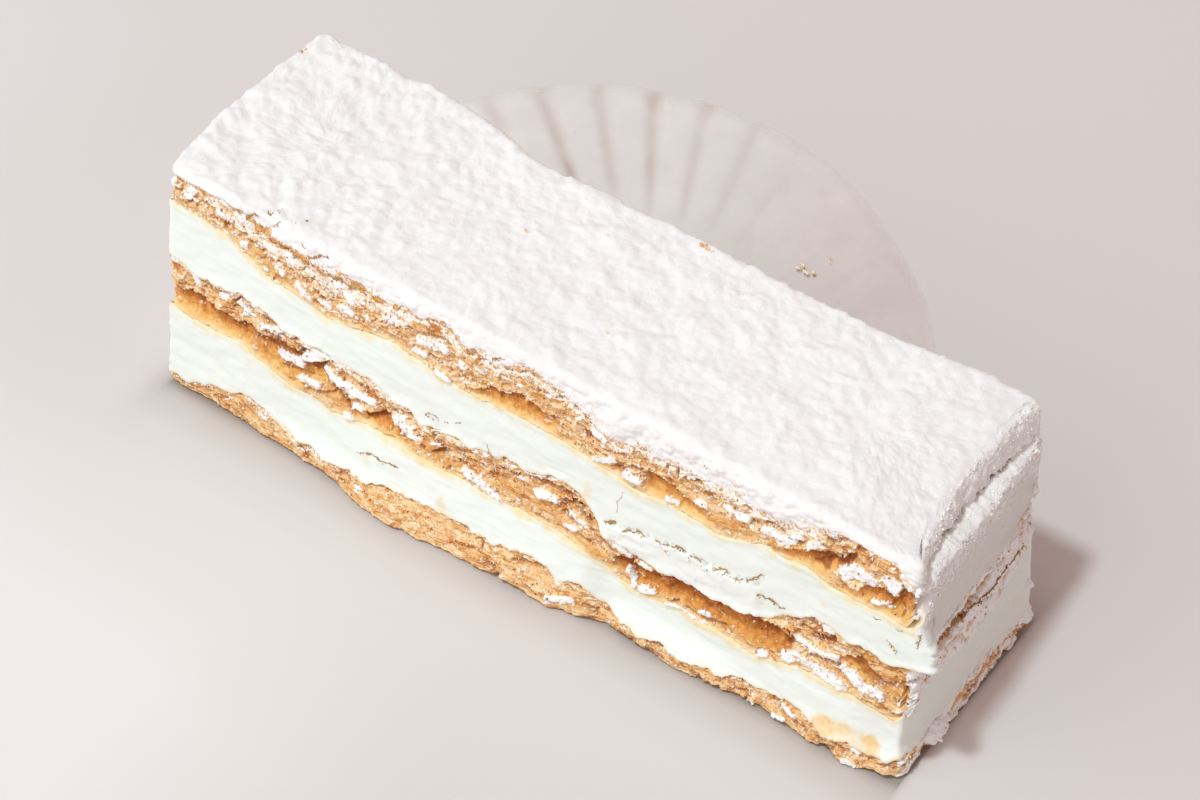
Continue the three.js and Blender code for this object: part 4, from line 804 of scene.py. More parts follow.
MID_DARK = [(0.68, 0.9, [(-64.2, 19.5), (-62.5, 19.7), (-60.9, 19.6), (-59.6, 20.3), (-58.4, 20.2)]), (1.02, 0.8, [(-58.4, 20.2), (-56.7, 20.2), (-55.2, 19.4), (-53.9, 19.1), (-52.3, 18.7), (-51.2, 18.5)]), (1.7, 1, [(-51.0, 18.4), (-49.6, 19.3), (-48.3, 19.9)]), (0.68, 0.7, [(-48.3, 18.5), (-46.7, 17.9), (-44.2, 18.5)]), (0.68, 0.8, [(-45.1, 20.6), (-43.4, 20.5), (-41.6, 20.8)]), (0.51, 0.7, [(-57.7, 23.5), (-56.3, 23.8)]), (0.51, 0.6, [(-55.0, 23.1), (-52.7, 24.0)]), (0.51, 0.9, [(-51.9, 22.6), (-50.2, 24.4), (-49.7, 24.9), (-49.1, 24.6)]), (0.51, 0.8, [(-48.7, 23.6), (-47.1, 23.3), (-45.2, 22.8)]), (1.02, 0.85, [(-45.4, 22.8), (-43.9, 23.0), (-43.5, 24.1)]), (0.43, 0.9, [(-42.8, 21.7), (-41.5, 21.6), (-40.4, 21.9), (-38.7, 23.3)]), (0.34, 0.6, [(-37.8, 24.1), (-36.6, 23.5)]), (0.51, 0.6, [(-51.6, 22.0), (-49.7, 22.4), (-48.1, 22.0)]), (1.02, 0.75, [(-45.3, 20.8), (-42.8, 20.7), (-41.0, 20.1), (-39.5, 19.4)]), (0.68, 1, [(-39.3, 19.3), (-38.5, 21.0)]), (0.68, 0.5, [(-47.3, 18.5), (-45.4, 18.3), (-43.5, 18.4)]), (1.87, 0.9, [(-37.1, 18.6), (-35.8, 19.0), (-35.0, 18.8)]), (0.51, 0.9, [(-38.2, 18.8), (-36.0, 19.9), (-34.8, 20.5), (-33.0, 22.0)]), (0.68, 0.7, [(-42.7, 15.2), (-40.5, 15.8), (-38.6, 16.5), (-37.0, 16.5)]), (0.51, 0.7, [(-38.3, 13.5), (-36.1, 13.8), (-33.0, 15.6), (-32.3, 16.6)]), (0.68, 0.95, [(-34.9, 18.5), (-34.0, 17.1), (-32.3, 16.3), (-31.1, 15.4), (-29.8, 14.7)]), (0.51, 0.9, [(-31.7, 20.0), (-30.5, 20.4), (-29.3, 20.1)]), (0.6, 0.9, [(-29.3, 20.1), (-27.5, 19.9), (-25.9, 20.1)]), (0.51, 0.8, [(-25.9, 20.1), (-24.9, 19.4), (-24.0, 18.6)]), (1.02, 0.7, [(-30.4, 16.5), (-28.6, 17.2), (-26.7, 17.5)]), (0.43, 0.6, [(-31.4, 17.9), (-29.8, 18.1)]), (1.02, 1, [(-26.7, 15.1), (-24.8, 16.1), (-23.7, 17.0)]), (0.6, 0.9, [(-23.7, 17.5), (-22.1, 17.5), (-20.5, 16.3), (-19.2, 15.4), (-18.1, 15.6)]), (0.6, 0.6, [(-24.8, 13.2), (-23.6, 13.0), (-21.8, 13.6)]), (0.51, 0.8, [(-20.8, 20.9), (-19.8, 20.4)]), (0.51, 0.8, [(-21.8, 18.6), (-21.2, 18.7)]), (0.68, 0.8, [(-19.3, 19.4), (-18.0, 19.6)]), (0.34, 0.6, [(-16.9, 21.2), (-15.4, 22.1), (-14.2, 22.1)]), (0.68, 0.7, [(-14.9, 17.6), (-14.4, 18.5)]), (0.51, 0.7, [(-16.5, 15.1), (-15.3, 14.6)]), (0.68, 0.95, [(-14.5, 15.1), (-13.3, 16.0), (-12.4, 16.4)]), (0.51, 0.8, [(-11.8, 20.0), (-11.3, 20.5)]), (0.68, 0.7, [(-9.6, 20.2), (-8.2, 20.5)]), (0.51, 0.7, [(-6.3, 22.7), (-6.3, 21.7)]), (0.51, 0.7, [(-10.8, 17.9), (-9.3, 17.3), (-7.5, 17.4), (-5.4, 17.5)]), (0.68, 0.6, [(-10.9, 15.4), (-9.4, 16.0)]), (0.51, 0.6, [(-11.8, 13.4), (-11.3, 14.1)]), (0.51, 0.5, [(-8.6, 13.4), (-6.2, 12.9), (-4.4, 12.5)]), (0.68, 0.8, [(-6.0, 12.5), (-5.0, 12.3)]), (0.51, 0.6, [(-5.3, 16.5), (-3.3, 17.1), (-2.2, 17.4)]), (0.51, 0.9, [(-2.6, 18.9), (-0.8, 18.8), (0.6, 19.4)]), (0.68, 0.9, [(1.7, 20.1), (2.6, 19.8), (3.7, 20.1)]), (1.02, 0.85, [(3.7, 20.1), (5.2, 20.2), (6.6, 20.9), (7.5, 20.5), (8.8, 20.7)]), (0.68, 1, [(8.6, 21.0), (9.7, 21.1)]), (0.68, 0.6, [(5.4, 17.4), (7.1, 17.4), (8.5, 18.1)]), (1.19, 1, [(8.3, 18.6), (9.5, 19.5), (11.2, 19.9)]), (1.02, 0.95, [(10.5, 19.0), (11.9, 18.4), (13.0, 18.4)]), (0.51, 0.7, [(12.9, 19.7), (13.8, 19.5)]), (0.68, 0.8, [(8.2, 16.9), (9.8, 16.5), (10.7, 16.2)]), (0.68, 0.9, [(12.5, 14.2), (12.8, 14.0)]), (0.68, 0.7, [(3.1, 14.0), (4.6, 13.9), (5.8, 13.7)]), (0.51, 0.6, [(5.6, 12.6), (7.7, 12.7), (9.6, 12.4)]), (0.51, 0.4, [(13.8, 15.7), (15.7, 14.7), (17.4, 13.0)]), (1.36, 1, [(17.4, 13.0), (19.3, 14.1), (21.0, 13.9), (22.7, 13.9), (24.2, 14.3)]), (0.85, 0.7, [(20.1, 15.0), (22.1, 16.3), (23.4, 15.9), (25.1, 16.0)]), (0.85, 0.95, [(25.7, 15.8), (26.8, 15.5), (27.6, 15.6), (29.1, 15.8)]), (0.51, 0.7, [(25.3, 11.6), (26.7, 13.3), (27.2, 14.9)]), (1.7, 0.85, [(29.3, 15.5), (31.3, 15.6), (32.9, 15.9), (34.1, 15.4), (35.7, 16.1), (37.3, 16.5), (39.5, 16.7)]), (1.36, 1, [(39.9, 16.2), (40.9, 16.3), (42.5, 16.6)]), (1.7, 0.6, [(38.8, 14.6), (42.1, 14.9), (44.5, 16.1)]), (0.85, 1, [(45.7, 17.2), (46.4, 15.9), (45.5, 14.6)]), (0.51, 0.7, [(44.6, 13.6), (45.4, 15.4)]), (0.68, 0.7, [(29.3, 10.5), (30.4, 10.6)]), (0.85, 0.7, [(32.1, 10.3), (33.7, 11.0), (35.4, 11.2)]), (0.51, 0.8, [(26.8, 10.5), (27.7, 10.9)]), (0.85, 0.6, [(46.8, 21.2), (48.8, 22.0), (50.1, 21.6)]), (0.51, 0.8, [(47.6, 19.5), (49.3, 19.6), (51.0, 19.3)]), (1.19, 1, [(49.9, 18.8), (51.7, 19.5), (52.7, 19.9), (53.5, 19.9)]), (0.68, 1, [(52.6, 21.3), (53.4, 20.4)]), (1.02, 0.85, [(49.5, 15.5), (51.0, 15.8), (52.3, 15.9), (53.7, 16.2)]), (0.68, 0.7, [(53.7, 15.6), (54.3, 15.0)]), (0.51, 1, [(55.0, 18.4), (56.1, 19.2), (57.2, 19.9)]), (2.38, 0.6, [(56.7, 18.2), (58.1, 17.6), (59.4, 17.0)]), (0.68, 0.9, [(58.3, 18.7), (59.8, 17.5)]), (0.68, 0.7, [(59.9, 16.3), (61.4, 16.8), (62.3, 17.4)]), (1.02, 0.9, [(61.6, 20.7), (63.3, 22.5), (64.8, 22.8), (66.2, 23.5)]), (0.85, 1, [(65.6, 22.3), (65.3, 19.6), (65.3, 16.7), (65.9, 16.0)]), (0.51, 0.8, [(62.6, 15.0), (62.9, 14.6), (65.2, 15.5)]), (0.43, 0.5, [(58.8, 11.9), (60.5, 12.2), (61.8, 12.3), (64.3, 12.7)]), (0.51, 0.6, [(53.8, 19.7), (55.4, 20.0), (57.2, 20.6)]), (0.68, 0.6, [(54.4, 21.8), (56.0, 21.4), (58.0, 21.8), (59.9, 21.6)])]
MID_WHITE = [(1.19, 1, [(-59.1, 25.2), (-58.6, 23.9), (-58.1, 22.9)]), (1.02, 1, [(-53.9, 22.9), (-52.9, 23.2)]), (1.53, 1, [(-50.4, 23.6), (-49.7, 23.0), (-48.8, 22.4)]), (1.36, 1, [(-46.2, 21.3), (-44.7, 21.4), (-43.0, 21.7)]), (1.7, 1, [(-42.3, 17.6), (-40.5, 18.0), (-39.2, 18.0)]), (1.87, 1, [(-38.0, 19.7), (-35.7, 21.2), (-33.5, 22.3)]), (1.36, 1, [(-39.2, 15.0), (-37.4, 15.3), (-35.9, 15.5)]), (1.36, 1, [(-34.1, 19.6), (-32.5, 18.4), (-30.0, 18.2), (-27.6, 18.3), (-25.4, 18.4)]), (1.36, 1, [(-30.3, 13.0), (-29.5, 13.1)]), (1.36, 0.9, [(-29.0, 15.5), (-27.5, 15.7)]), (2.38, 1, [(-21.0, 17.5), (-19.7, 16.8), (-18.0, 16.2)]), (0.85, 0.9, [(-14.4, 16.9), (-13.4, 17.1)]), (2.04, 1, [(-8.5, 14.9), (-6.9, 14.7), (-5.7, 14.5)]), (1.7, 1, [(-5.3, 14.2), (-4.1, 13.5), (-3.0, 13.0)]), (1.53, 1, [(3.8, 18.1), (5.2, 18.3), (6.7, 18.3)]), (1.19, 1, [(9.7, 17.6), (10.6, 17.2), (12.0, 17.1)]), (1.19, 0.8, [(9.1, 15.0), (10.5, 15.3)]), (1.7, 0.8, [(16.5, 16.3), (18.2, 15.8), (19.9, 15.4)]), (1.02, 0.9, [(21.6, 14.9), (23.0, 14.8)]), (1.19, 1, [(19.5, 12.3), (20.0, 11.2), (20.4, 9.8)]), (1.02, 0.9, [(21.5, 9.8), (23.5, 10.3)]), (1.7, 1, [(26.9, 9.7), (28.6, 9.4), (29.9, 9.0)]), (1.36, 1, [(30.4, 9.2), (31.6, 9.1)]), (1.02, 1, [(31.7, 11.7), (32.8, 11.7)]), (0.85, 0.9, [(41.7, 10.3), (42.7, 10.8)]), (1.5, 1, [(46.9, 16.8), (48.2, 16.8), (49.6, 16.8)]), (1.7, 1, [(49.6, 16.6), (51.4, 16.9), (53.2, 17.4)]), (2.04, 1, [(46.0, 12.6), (47.5, 14.0), (49.0, 13.9), (50.5, 13.5)]), (2.21, 1, [(51.1, 13.1), (52.7, 13.0), (54.3, 12.9)]), (2.04, 1, [(54.7, 15.9), (55.9, 15.5), (56.9, 14.9)]), (2.04, 1, [(57.9, 14.4), (59.1, 14.3), (60.3, 14.7)]), (1.53, 1, [(64.2, 20.9), (64.8, 19.8)]), (0.85, 1, [(63.1, 14.7), (63.7, 15.0)]), (1.02, 0.9, [(62.8, 12.6), (64.6, 13.5)]), (1.19, 0.8, [(51.4, 21.7), (52.3, 21.9)])]
MID_GOLD = [(2.38, 1, [(-62.9, 18.2), (-59.0, 18.8), (-55.8, 17.9), (-52.8, 17.2)]), (2.04, 0.7, [(-46.3, 17.1), (-42.9, 16.8), (-40.1, 16.4)]), (2.38, 1, [(-33.6, 15.3), (-31.7, 14.1), (-29.4, 14.2)]), (2.72, 1, [(-25.9, 13.8), (-23.1, 14.5), (-21.2, 13.7)]), (2.72, 0.9, [(-19.5, 14.7), (-16.0, 15.7), (-13.1, 14.5), (-10.4, 14.2)]), (2.38, 0.7, [(-1.8, 16.3), (2.5, 16.9), (6.1, 16.2), (9.7, 14.6)]), (2.04, 1, [(12.2, 12.8), (13.8, 12.6), (15.8, 11.7)]), (2.04, 0.8, [(23.9, 12.5), (27.2, 12.9), (30.6, 13.5)]), (2.38, 0.9, [(31.4, 13.4), (36.3, 14.7), (38.8, 14.6)]), (3.06, 1, [(39.0, 12.1), (42.3, 13.4), (44.7, 14.1)]), (1.7, 0.8, [(60.2, 18.6), (62.9, 19.9)]), (1.7, 0.7, [(61.3, 15.2), (62.8, 16.2), (64.3, 16.3)]), (1.36, 0.8, [(29.9, 9.7), (33.6, 10.5), (37.3, 11.9)])]
LOW_DARK = [(0.51, 0.7, [(-49.0, 5.5), (-47.1, 5.3), (-45.6, 5.0)]), (0.51, 0.6, [(-55.9, 1.4), (-52.0, 1.0), (-49.2, 0.6)]), (1.19, 0.6, [(-38.4, 2.0), (-37.5, 1.3)]), (0.68, 0.5, [(-31.4, 1.8), (-28.9, 3.3)]), (0.85, 0.7, [(-3.3, 2.0), (-1.7, 1.7), (-0.6, 0.6)]), (0.51, 0.6, [(1.0, 4.0), (3.6, 4.9), (5.9, 5.6)]), (0.51, 0.6, [(5.5, 6.3), (6.0, 5.4)]), (0.68, 0.5, [(4.5, 1.5), (5.4, 1.1)]), (0.51, 0.6, [(10.5, 5.8), (12.5, 6.4)]), (0.68, 0.6, [(7.1, 1.4), (8.9, 1.3)]), (1.19, 0.5, [(13.5, 2.4), (14.9, 1.9)]), (0.68, 0.5, [(18.7, 0.1), (20.1, 0.4), (21.8, 1.1)]), (0.85, 0.4, [(24.4, 0.7), (26.9, 0.7)]), (0.68, 0.6, [(32.6, 0.5), (34.6, 0.0), (36.3, 0.6)]), (0.85, 0.6, [(36.6, 2.3), (38.2, 3.6), (40.2, 3.5)]), (0.68, 0.6, [(38.6, 1.1), (40.7, 1.7)]), (0.68, 0.7, [(47.1, 4.8), (48.3, 4.6), (49.5, 4.4)]), (0.68, 0.6, [(45.0, 3.1), (46.8, 2.8), (48.2, 2.2)]), (0.85, 0.6, [(49.1, 1.6), (50.5, 1.5)]), (1.36, 0.6, [(53.1, 1.5), (54.1, 0.9), (55.1, 1.2)]), (0.51, 0.6, [(55.6, 2.2), (57.1, 2.2), (58.5, 2.3)]), (0.51, 0.6, [(59.5, 2.8), (61.7, 2.0), (64.0, 2.1)]), (0.85, 0.5, [(63.2, 2.0), (65.4, 4.7), (66.4, 5.9)])]
LOW_WHITE = [(1.36, 1, [(8.2, 1.6), (9.9, 2.3), (11.6, 2.8)]), (0.85, 0.9, [(-46.8, 3.6), (-45.6, 3.5)]), (1.02, 0.9, [(32.4, -0.2), (33.1, -0.4)]), (1.19, 1, [(33.5, -1.9), (34.5, -1.8)]), (1.02, 1, [(37.8, -0.6), (39.6, -0.1), (41.3, 0.3)]), (1.19, 1, [(46.8, 3.4), (48.2, 2.8)]), (1.02, 0.9, [(57.5, 0.7), (58.7, 0.4)]), (1.02, 0.9, [(59.3, -0.4), (61.0, -0.8)]), (0.85, 0.9, [(58.3, 2.8), (59.0, 2.6)]), (1.19, 1, [(1.6, -1.5), (2.8, -1.3)]), (1.02, 0.9, [(45.3, 0.7), (47.0, 1.2)])]
# hollows under a leaf: from, to, line along their top, line along their foot, depth
TOP_HOLLOWS = [(-9.8, 7.1, [(-9.0, 30.7), (-6.1, 32.2), (-4.5, 33.8), (-3.1, 33.6), (0.3, 34.4), (3.7, 34.3), (6.3, 34.3)], None, 1), (20.6, 32.1, [(21.4, 33.3), (22.7, 33.6), (24.7, 33.7), (26.5, 33.3), (28.8, 32.6), (31.3, 32.3)], None, 1.2), (40.7, 51.7, [(41.5, 31.7), (44.8, 33.6), (48.2, 35.4), (50.9, 36.3)], None, 1), (48.3, 54.8, [(49.1, 33.9), (51.0, 35.8), (54.0, 38.3)], [(49.4, 32.1), (51.9, 33.3), (54.4, 36.1)], 1.2), (52.4, 65.1, [(53.2, 32.8), (55.3, 32.9), (56.6, 33.9), (58.8, 35.0), (61.4, 35.1), (62.4, 37.2), (64.3, 37.3)], None, 0.9)]
MID_HOLLOWS = [(-66.0, -47.3, [(-65.2, 19.1), (-62.6, 19.8), (-59.7, 20.2), (-56.9, 20.2), (-54.0, 19.2), (-51.2, 18.7), (-48.1, 20.0)], None, 1.5), (-48.6, -38.0, [(-47.8, 19.0), (-45.1, 20.1), (-41.9, 20.6), (-39.5, 19.6), (-38.8, 19.2)], None, 0.9), (-39.4, -32.6, [(-38.6, 18.7), (-36.1, 20.0), (-34.3, 20.6), (-33.4, 19.0)], [(-39.2, 16.0), (-35.5, 15.6), (-33.6, 16.7)], 1), (-30.2, -18.8, [(-29.4, 14.9), (-26.7, 15.6), (-23.7, 17.3), (-21.5, 17.2), (-19.6, 15.7)], None, 0.8), (16.4, 47.2, [(17.2, 13.7), (19.2, 14.6), (21.3, 14.3), (23.8, 14.3), (26.6, 15.6), (29.3, 15.9), (31.3, 15.8), (33.9, 15.6), (37.2, 16.8), (39.5, 16.9), (42.4, 17.1), (45.2, 17.8), (46.4, 17.0)], [(18.4, 10.5), (21.5, 9.8), (24.8, 10.0), (29.9, 10.9), (34.0, 11.2), (37.4, 11.3), (40.0, 10.7), (42.5, 11.1), (45.7, 12.6), (47.2, 13.8)], 2), (53.5, 60.6, [(54.3, 18.2), (55.5, 19.0), (57.1, 20.0), (58.2, 19.5), (59.8, 18.1)], [(55.0, 16.5), (56.8, 15.3), (59.0, 15.5), (60.5, 15.9)], 1.2)]
# threads of pastry and dirt on the cream and on the sugar: radius, tone, line
CREAM_THREADS = [(0.19, 0.42, [(18.0, -17.5, 19.2), (19.4, -17.5, 20.4), (20.7, -17.5, 21.0), (21.9, -17.5, 20.6)]), (0.17, 0.45, [(23.5, -17.5, 21.1), (24.4, -17.5, 21.1), (25.5, -17.5, 21.2), (27.1, -17.5, 22.1), (28.8, -17.5, 22.2)]), (0.17, 0.42, [(29.3, -17.5, 21.9), (30.6, -17.5, 22.0), (31.5, -17.5, 21.4), (32.3, -17.5, 20.9)]), (0.17, 0.45, [(33.0, -17.5, 21.3), (33.7, -17.5, 22.0), (35.3, -17.5, 22.9), (35.5, -17.5, 22.4), (34.6, -17.5, 21.6)]), (0.19, 0.4, [(35.9, -17.5, 21.7), (37.8, -17.5, 22.6)]), (0.22, 0.36, [(38.6, -17.5, 22.7), (39.8, -17.6, 24.3), (41.0, -17.6, 26.0)]), (0.22, 0.3, [(40.5, -17.5, 21.7), (42.4, -17.6, 22.1), (43.7, -17.6, 21.5), (44.8, -17.6, 21.6)]), (0.09, 0.4, [(17.2, -17.5, 22.7), (17.2, -17.5, 24.5), (17.5, -17.5, 25.7), (17.9, -17.4, 27.0)]), (0.14, 0.4, [(60.6, -17.7, 26.0), (61.4, -17.6, 25.4), (62.3, -17.6, 24.8)]), (0.14, 0.4, [(65.6, -17.7, 30.8), (65.3, -17.7, 29.1), (65.0, -17.7, 27.5)]), (0.10, 0.3, [(58.2, -17.7, 29.1), (59.7, -17.7, 29.6)]), (0.09, 0.4, [(61.7, -17.7, 28.8), (62.8, -17.7, 29.6)]), (0.17, 0.3, [(-28.1, -18.8, 7.4), (-25.1, -19.0, 9.0), (-23.4, -19.2, 8.8), (-20.2, -19.1, 9.4)]), (0.38, 0.1, [(14.8, -17.5, 19.4), (15.7, -17.5, 19.5), (17.0, -17.5, 20.7)]), (0.17, 0.35, [(-5.3, -17.4, 21.9), (-4.4, -17.5, 19.9), (-4.1, -17.6, 18.9)]), (0.14, 0.4, [(-16.3, -17.4, 21.6), (-14.8, -17.4, 22.3), (-13.6, -17.4, 21.8)]), (0.13, 0.4, [(-12.9, -17.4, 22.0), (-12.2, -17.4, 22.1)]), (0.13, 0.4, [(-10.9, -17.4, 23.0), (-9.9, -17.4, 23.3)])]
SUGAR_THREADS = [(0.17, 0.3, [(-49.9, -16.4, 41.5), (-49.6, -16.5, 41.2)]), (0.26, 0.35, [(-48.4, -16.5, 40.7), (-46.4, -16.8, 43.0), (-45.7, -17.1, 43.0)]), (0.26, 0.3, [(-45.3, -15.3, 43.0), (-44.4, -15.9, 43.0)]), (0.17, 0.2, [(-44.0, -14.5, 43.0), (-43.6, -14.8, 43.0)]), (0.13, 0.2, [(-42.4, -16.1, 43.0), (-42.5, -17.6, 43.0)]), (0.09, 0.2, [(-40.5, -14.8, 43.0), (-40.3, -15.0, 43.0)]), (0.13, 0.45, [(-38.2, -16.6, 41.6), (-37.7, -16.6, 40.6)]), (0.26, 0.35, [(-37.4, -16.7, 39.5), (-36.2, -16.7, 39.9), (-35.5, -16.7, 40.7)]), (0.19, 0.15, [(-35.5, -16.7, 40.7), (-34.5, -16.6, 41.4), (-33.5, -16.7, 41.5)]), (0.26, 0.05, [(-33.7, -16.7, 41.5), (-33.4, -16.7, 41.4)]), (0.21, 0.1, [(-34.5, -16.7, 38.8), (-34.3, -16.7, 38.7)]), (0.21, 0.1, [(-33.5, -16.8, 38.7), (-32.9, -16.8, 38.6)]), (0.43, 0.2, [(-32.3, -16.8, 38.6), (-31.0, -16.8, 39.0)]), (0.26, 0.3, [(-31.1, -16.8, 38.4), (-31.2, -16.8, 37.0)]), (0.38, 0.2, [(-29.7, -16.8, 38.2), (-29.2, -16.8, 37.9)]), (0.13, 0.2, [(-4.8, -17.1, 38.8), (-3.9, -17.1, 39.5), (-2.4, -17.1, 40.4)]), (0.17, 0.45, [(6.2, -17.2, 38.4), (7.5, -17.2, 39.5)]), (0.26, 0.35, [(9.2, -17.2, 38.8), (9.9, -17.2, 39.0)]), (0.10, 0.2, [(33.1, -17.5, 38.0), (34.6, -17.5, 38.5)]), (0.13, 0.2, [(31.0, -17.5, 40.8), (31.2, -17.5, 40.6)]), (0.17, 0.3, [(-21.5, -16.9, 38.3), (-21.3, -16.9, 38.1)]), (0.17, 0.3, [(-40.0, -13.6, 43.0), (-39.7, -13.7, 43.0)])]
# right end: patches of powder (place along the outline, z, width, height) and hollows (with a depth)
BOTTOM_PATCHES = [(991, 2.6, 5.6, 3.8), (1010, 2.0, 3.0, 1.2), (1015.5, 3.0, 2.0, 2.0)]
TOP_PATCHES, MID_PATCHES = [], []
TOP_CAVES, MID_CAVES, BOTTOM_CAVES = [], [(64.5, 17.5, 1.6, 5.5, 1.2)], []
# the same kinds of thing on the sides that the photograph doesn't show
for lst, zc, spread in ((TOP_PATCHES, 35.0, 2.4), (MID_PATCHES, 17.0, 3.0), (BOTTOM_PATCHES, 2.4, 0.8)):
    for base, lo, hi, n in ((2000, -60, 60, 14), (3000, -14, 14, 4)):
        for _ in range(n):
            lst.append((base + rng.uniform(lo, hi), zc + rng.uniform(-spread, spread), rng.uniform(2, 7), rng.uniform(1.2, 2.6)))
for lst, zc, depth, spans in (
    (TOP_HOLLOWS, 34.5, 1.2, ((1944, 1963), (1989, 1999), (2020, 2048), (2988, 2997))),
    (MID_HOLLOWS, 17.0, 1.6, ((1951, 1981), (2003, 2015), (2036, 2050), (2993, 3004))),
):
    for a, b in spans:
        q = zc + rng.uniform(-0.6, 0.6)
        w = rng.uniform(-0.6, 0.6)
        m = a + (b - a) * (0.5 + 0.3 * w)
        lst.append((a, b, [(a, q - 1.5), (0.8 * a + 0.2 * b, q + 0.1), (m, q + 0.9 + w), (0.2 * a + 0.8 * b, q + w), (b, q - 1.6)], [(a, q - 2.0), (m, q - 3.2 - w), (b, q - 2.2)], depth))
# right end: a powder ridge along the back half of the middle sheet and a deep gap over its front half
MID_PATCHES += [(1009.5, 20.4, 15.0, 1.6), (1015, 23.6, 5.0, 1.8), (1012, 19.0, 4.0, 0.9)]
MID_CAVES += [(994.5, 21.4, 13.0, 3.0, 2.8), (1003.5, 21.9, 9.0, 1.6, 2.4), (1012, 23.4, 8.0, 1.1, 2.0), (988, 22.4, 4.0, 0.8, 1.2), (994, 18.6, 6.0, 0.7, 1.0)]
TOP_CAP = [(-64, 0.9), (-57, 1.4), (-50, 2.2), (-42, 2.2), (-35, 1.9), (-28, 1.2), (-22, 1.5), (-12, 1.3), (-4, 1.0), (3, 0.8), (12, 0.5), (20, 0.6), (28, 0.7), (36, 0.8), (44, 0.7), (50, 0.4), (58, 0.8), (62, 1.6), (65, 2.0)]
TOP_FLECK = [(-64, 0.12), (-30, 0.10), (-20, 0.14), (-5, 0.22), (12, 0.26), (20, 0.18), (40, 0.14), (48, 0.24), (65, 0.22)]
MID_CAP = [(-66, 0.3), (-58, 0.6), (-52, 1.2), (-44, 1.5), (-36, 1.6), (-27, 1.3), (-18, 0.8), (-10, 0.5), (0, 0.3), (6, 0.4), (11, 0.0), (13, -0.6), (42, -0.6), (46, 0.4), (52, 0.3), (58, 0.2), (65, 0.2)]
MID_FLECK = [(-66, 0.32), (-50, 0.26), (-30, 0.26), (-10, 0.22), (10, 0.28), (20, 0.30), (42, 0.30), (50, 0.22), (65, 0.26)]
LOW_CAP = [(-66, -0.4), (-55, 0.0), (-45, 0.4), (-38, 0.5), (-30, 0.0), (-20, -0.3), (-10, -0.3), (10, 0.0), (25, -0.2), (45, -0.3), (65, -0.5)]
LOW_FLECK = [(-66, 0.42), (-40, 0.38), (0, 0.42), (65, 0.42)]

fine = outline(760, 150, 260, 110)
broad = outline(400, 110, 240, 80, r=0.5)


def foot_height(X, Y):
    x, y = plan(X, Y, np.zeros_like(X))
    r = np.hypot(x + 24, y - 33)
    base = 0.15 + 0.45 * (1 - smooth(52, 58, r))
    lift = 0.6 * smooth(0.0, 0.6, perlin(X / 4, Y / 4, 0.7, 5))
    return (base + lift + 0.35 * np.abs(perlin(X / 1.2, Y / 1.2, 0.2, 6))).astype(np.float32)


pieces, info = {}, {}
pieces["pastry_bottom"], info["bottom"] = pastry("flaky_pastry_bottom", "bottom", "bottom", 10, fine, 101, dict(dark=LOW_DARK, white=LOW_WHITE), BOTTOM_PATCHES, BOTTOM_CAVES, [], LOW_CAP, LOW_FLECK, soak_low=0.0, foot=foot_height, rough=0.55, pale=-0.04, swells=[(991, 2.2, 5.6, 4.2, 1.2), (1015.5, 2.6, 2.4, 3.0, 0.6)], void=0.3)
pieces["pastry_middle"], info["middle"] = pastry("flaky_pastry_middle", "cream_low", "middle", 18, fine, 201, dict(dark=MID_DARK, white=MID_WHITE, gold_and_hollow_shade=MID_GOLD), MID_PATCHES, MID_CAVES, MID_HOLLOWS, MID_CAP, MID_FLECK, jut=0.2, swells=[(1010, 19.8, 15.0, 2.4, 0.7)], dusted=0.38)
pieces["pastry_top"], info["top"] = pastry("flaky_pastry_top", "cream_up", "sugar", 18, fine, 301, dict(dark=TOP_DARK, white=TOP_WHITE, gold_and_hollow_shade=TOP_GOLD, leaf=TOP_LEAF), TOP_PATCHES, TOP_CAVES, TOP_HOLLOWS, TOP_CAP, TOP_FLECK, rough=0.75, jut=-0.3, void=0.8, pale=0.04)

LOW_MARKS = [("stain", -12.1, 6.6, 2.2, 4.0, 0, 0.45), ("stain", 53.6, 4.4, 5.0, 3.6, 25, 0.95), ("stain", 56.2, 5.2, 3.4, 3.0, -10, 0.8), ("stain", 60.4, 4.4, 4.6, 3.0, -30, 0.95), ("stain", 57, 4.2, 12.0, 4.4, 0, 0.45), ("stain", -26, 7.0, 1.6, 3.0, 0, 0.2), ("stain", -49, 12.4, 1.2, 2.6, 0, 0.25), ("stain", 1003, 6.0, 3.0, 2.0, 20, 0.3), ("stain", 1012, 9.0, 1.4, 2.6, 0, 0.3)]
UP_MARKS = [("stain", 50.6, 26.3, 1.2, 1.0, 0, 0.4), ("stain", 12.0, 23.5, 1.6, 5.0, 0, 0.35), ("stain", 5, 24.0, 5.0, 0.8, 10, 0.2), ("arc", 985.6, 27.6, 2.4, 4.6, -10, 0.25), ("stain", 986, 25.6, 1.6, 2.2, 0, 0.2)]
LEDGES = [(14.0, 41.6, [(14, 19.6), (18.9, 20.4), (23.7, 21.5), (28.8, 22.4), (32.3, 22.1), (36.8, 22.8), (38.9, 23.4), (42, 23.6)], 0.32)]
pieces["cream_lower"], info["cream_lower"] = cream("cream_lower_soft", "bottom", "cream_low", broad, 401, 36, 0.8, 0.4, LOW_MARKS, jut=[(0, -0.4), (6, -0.9), (12, -0.8)], dusty=1.6, shaded=0.3)
pieces["cream_upper"], info["cream_upper"] = cream("cream_upper_soft", "middle", "cream_up", broad, 501, 40, 1.0, 0.4, UP_MARKS, LEDGES, jut=[(20, 1.4), (22.5, 2.5), (28.0, 2.7), (29.4, 1.2), (31, 0.5), (38, 0.3)], dusty=7.0, shaded=0.75)
pieces["icing_sugar"], info["sugar"] = sugar_top("icing_sugar_coat", (440, 130, 440, 90), 601)


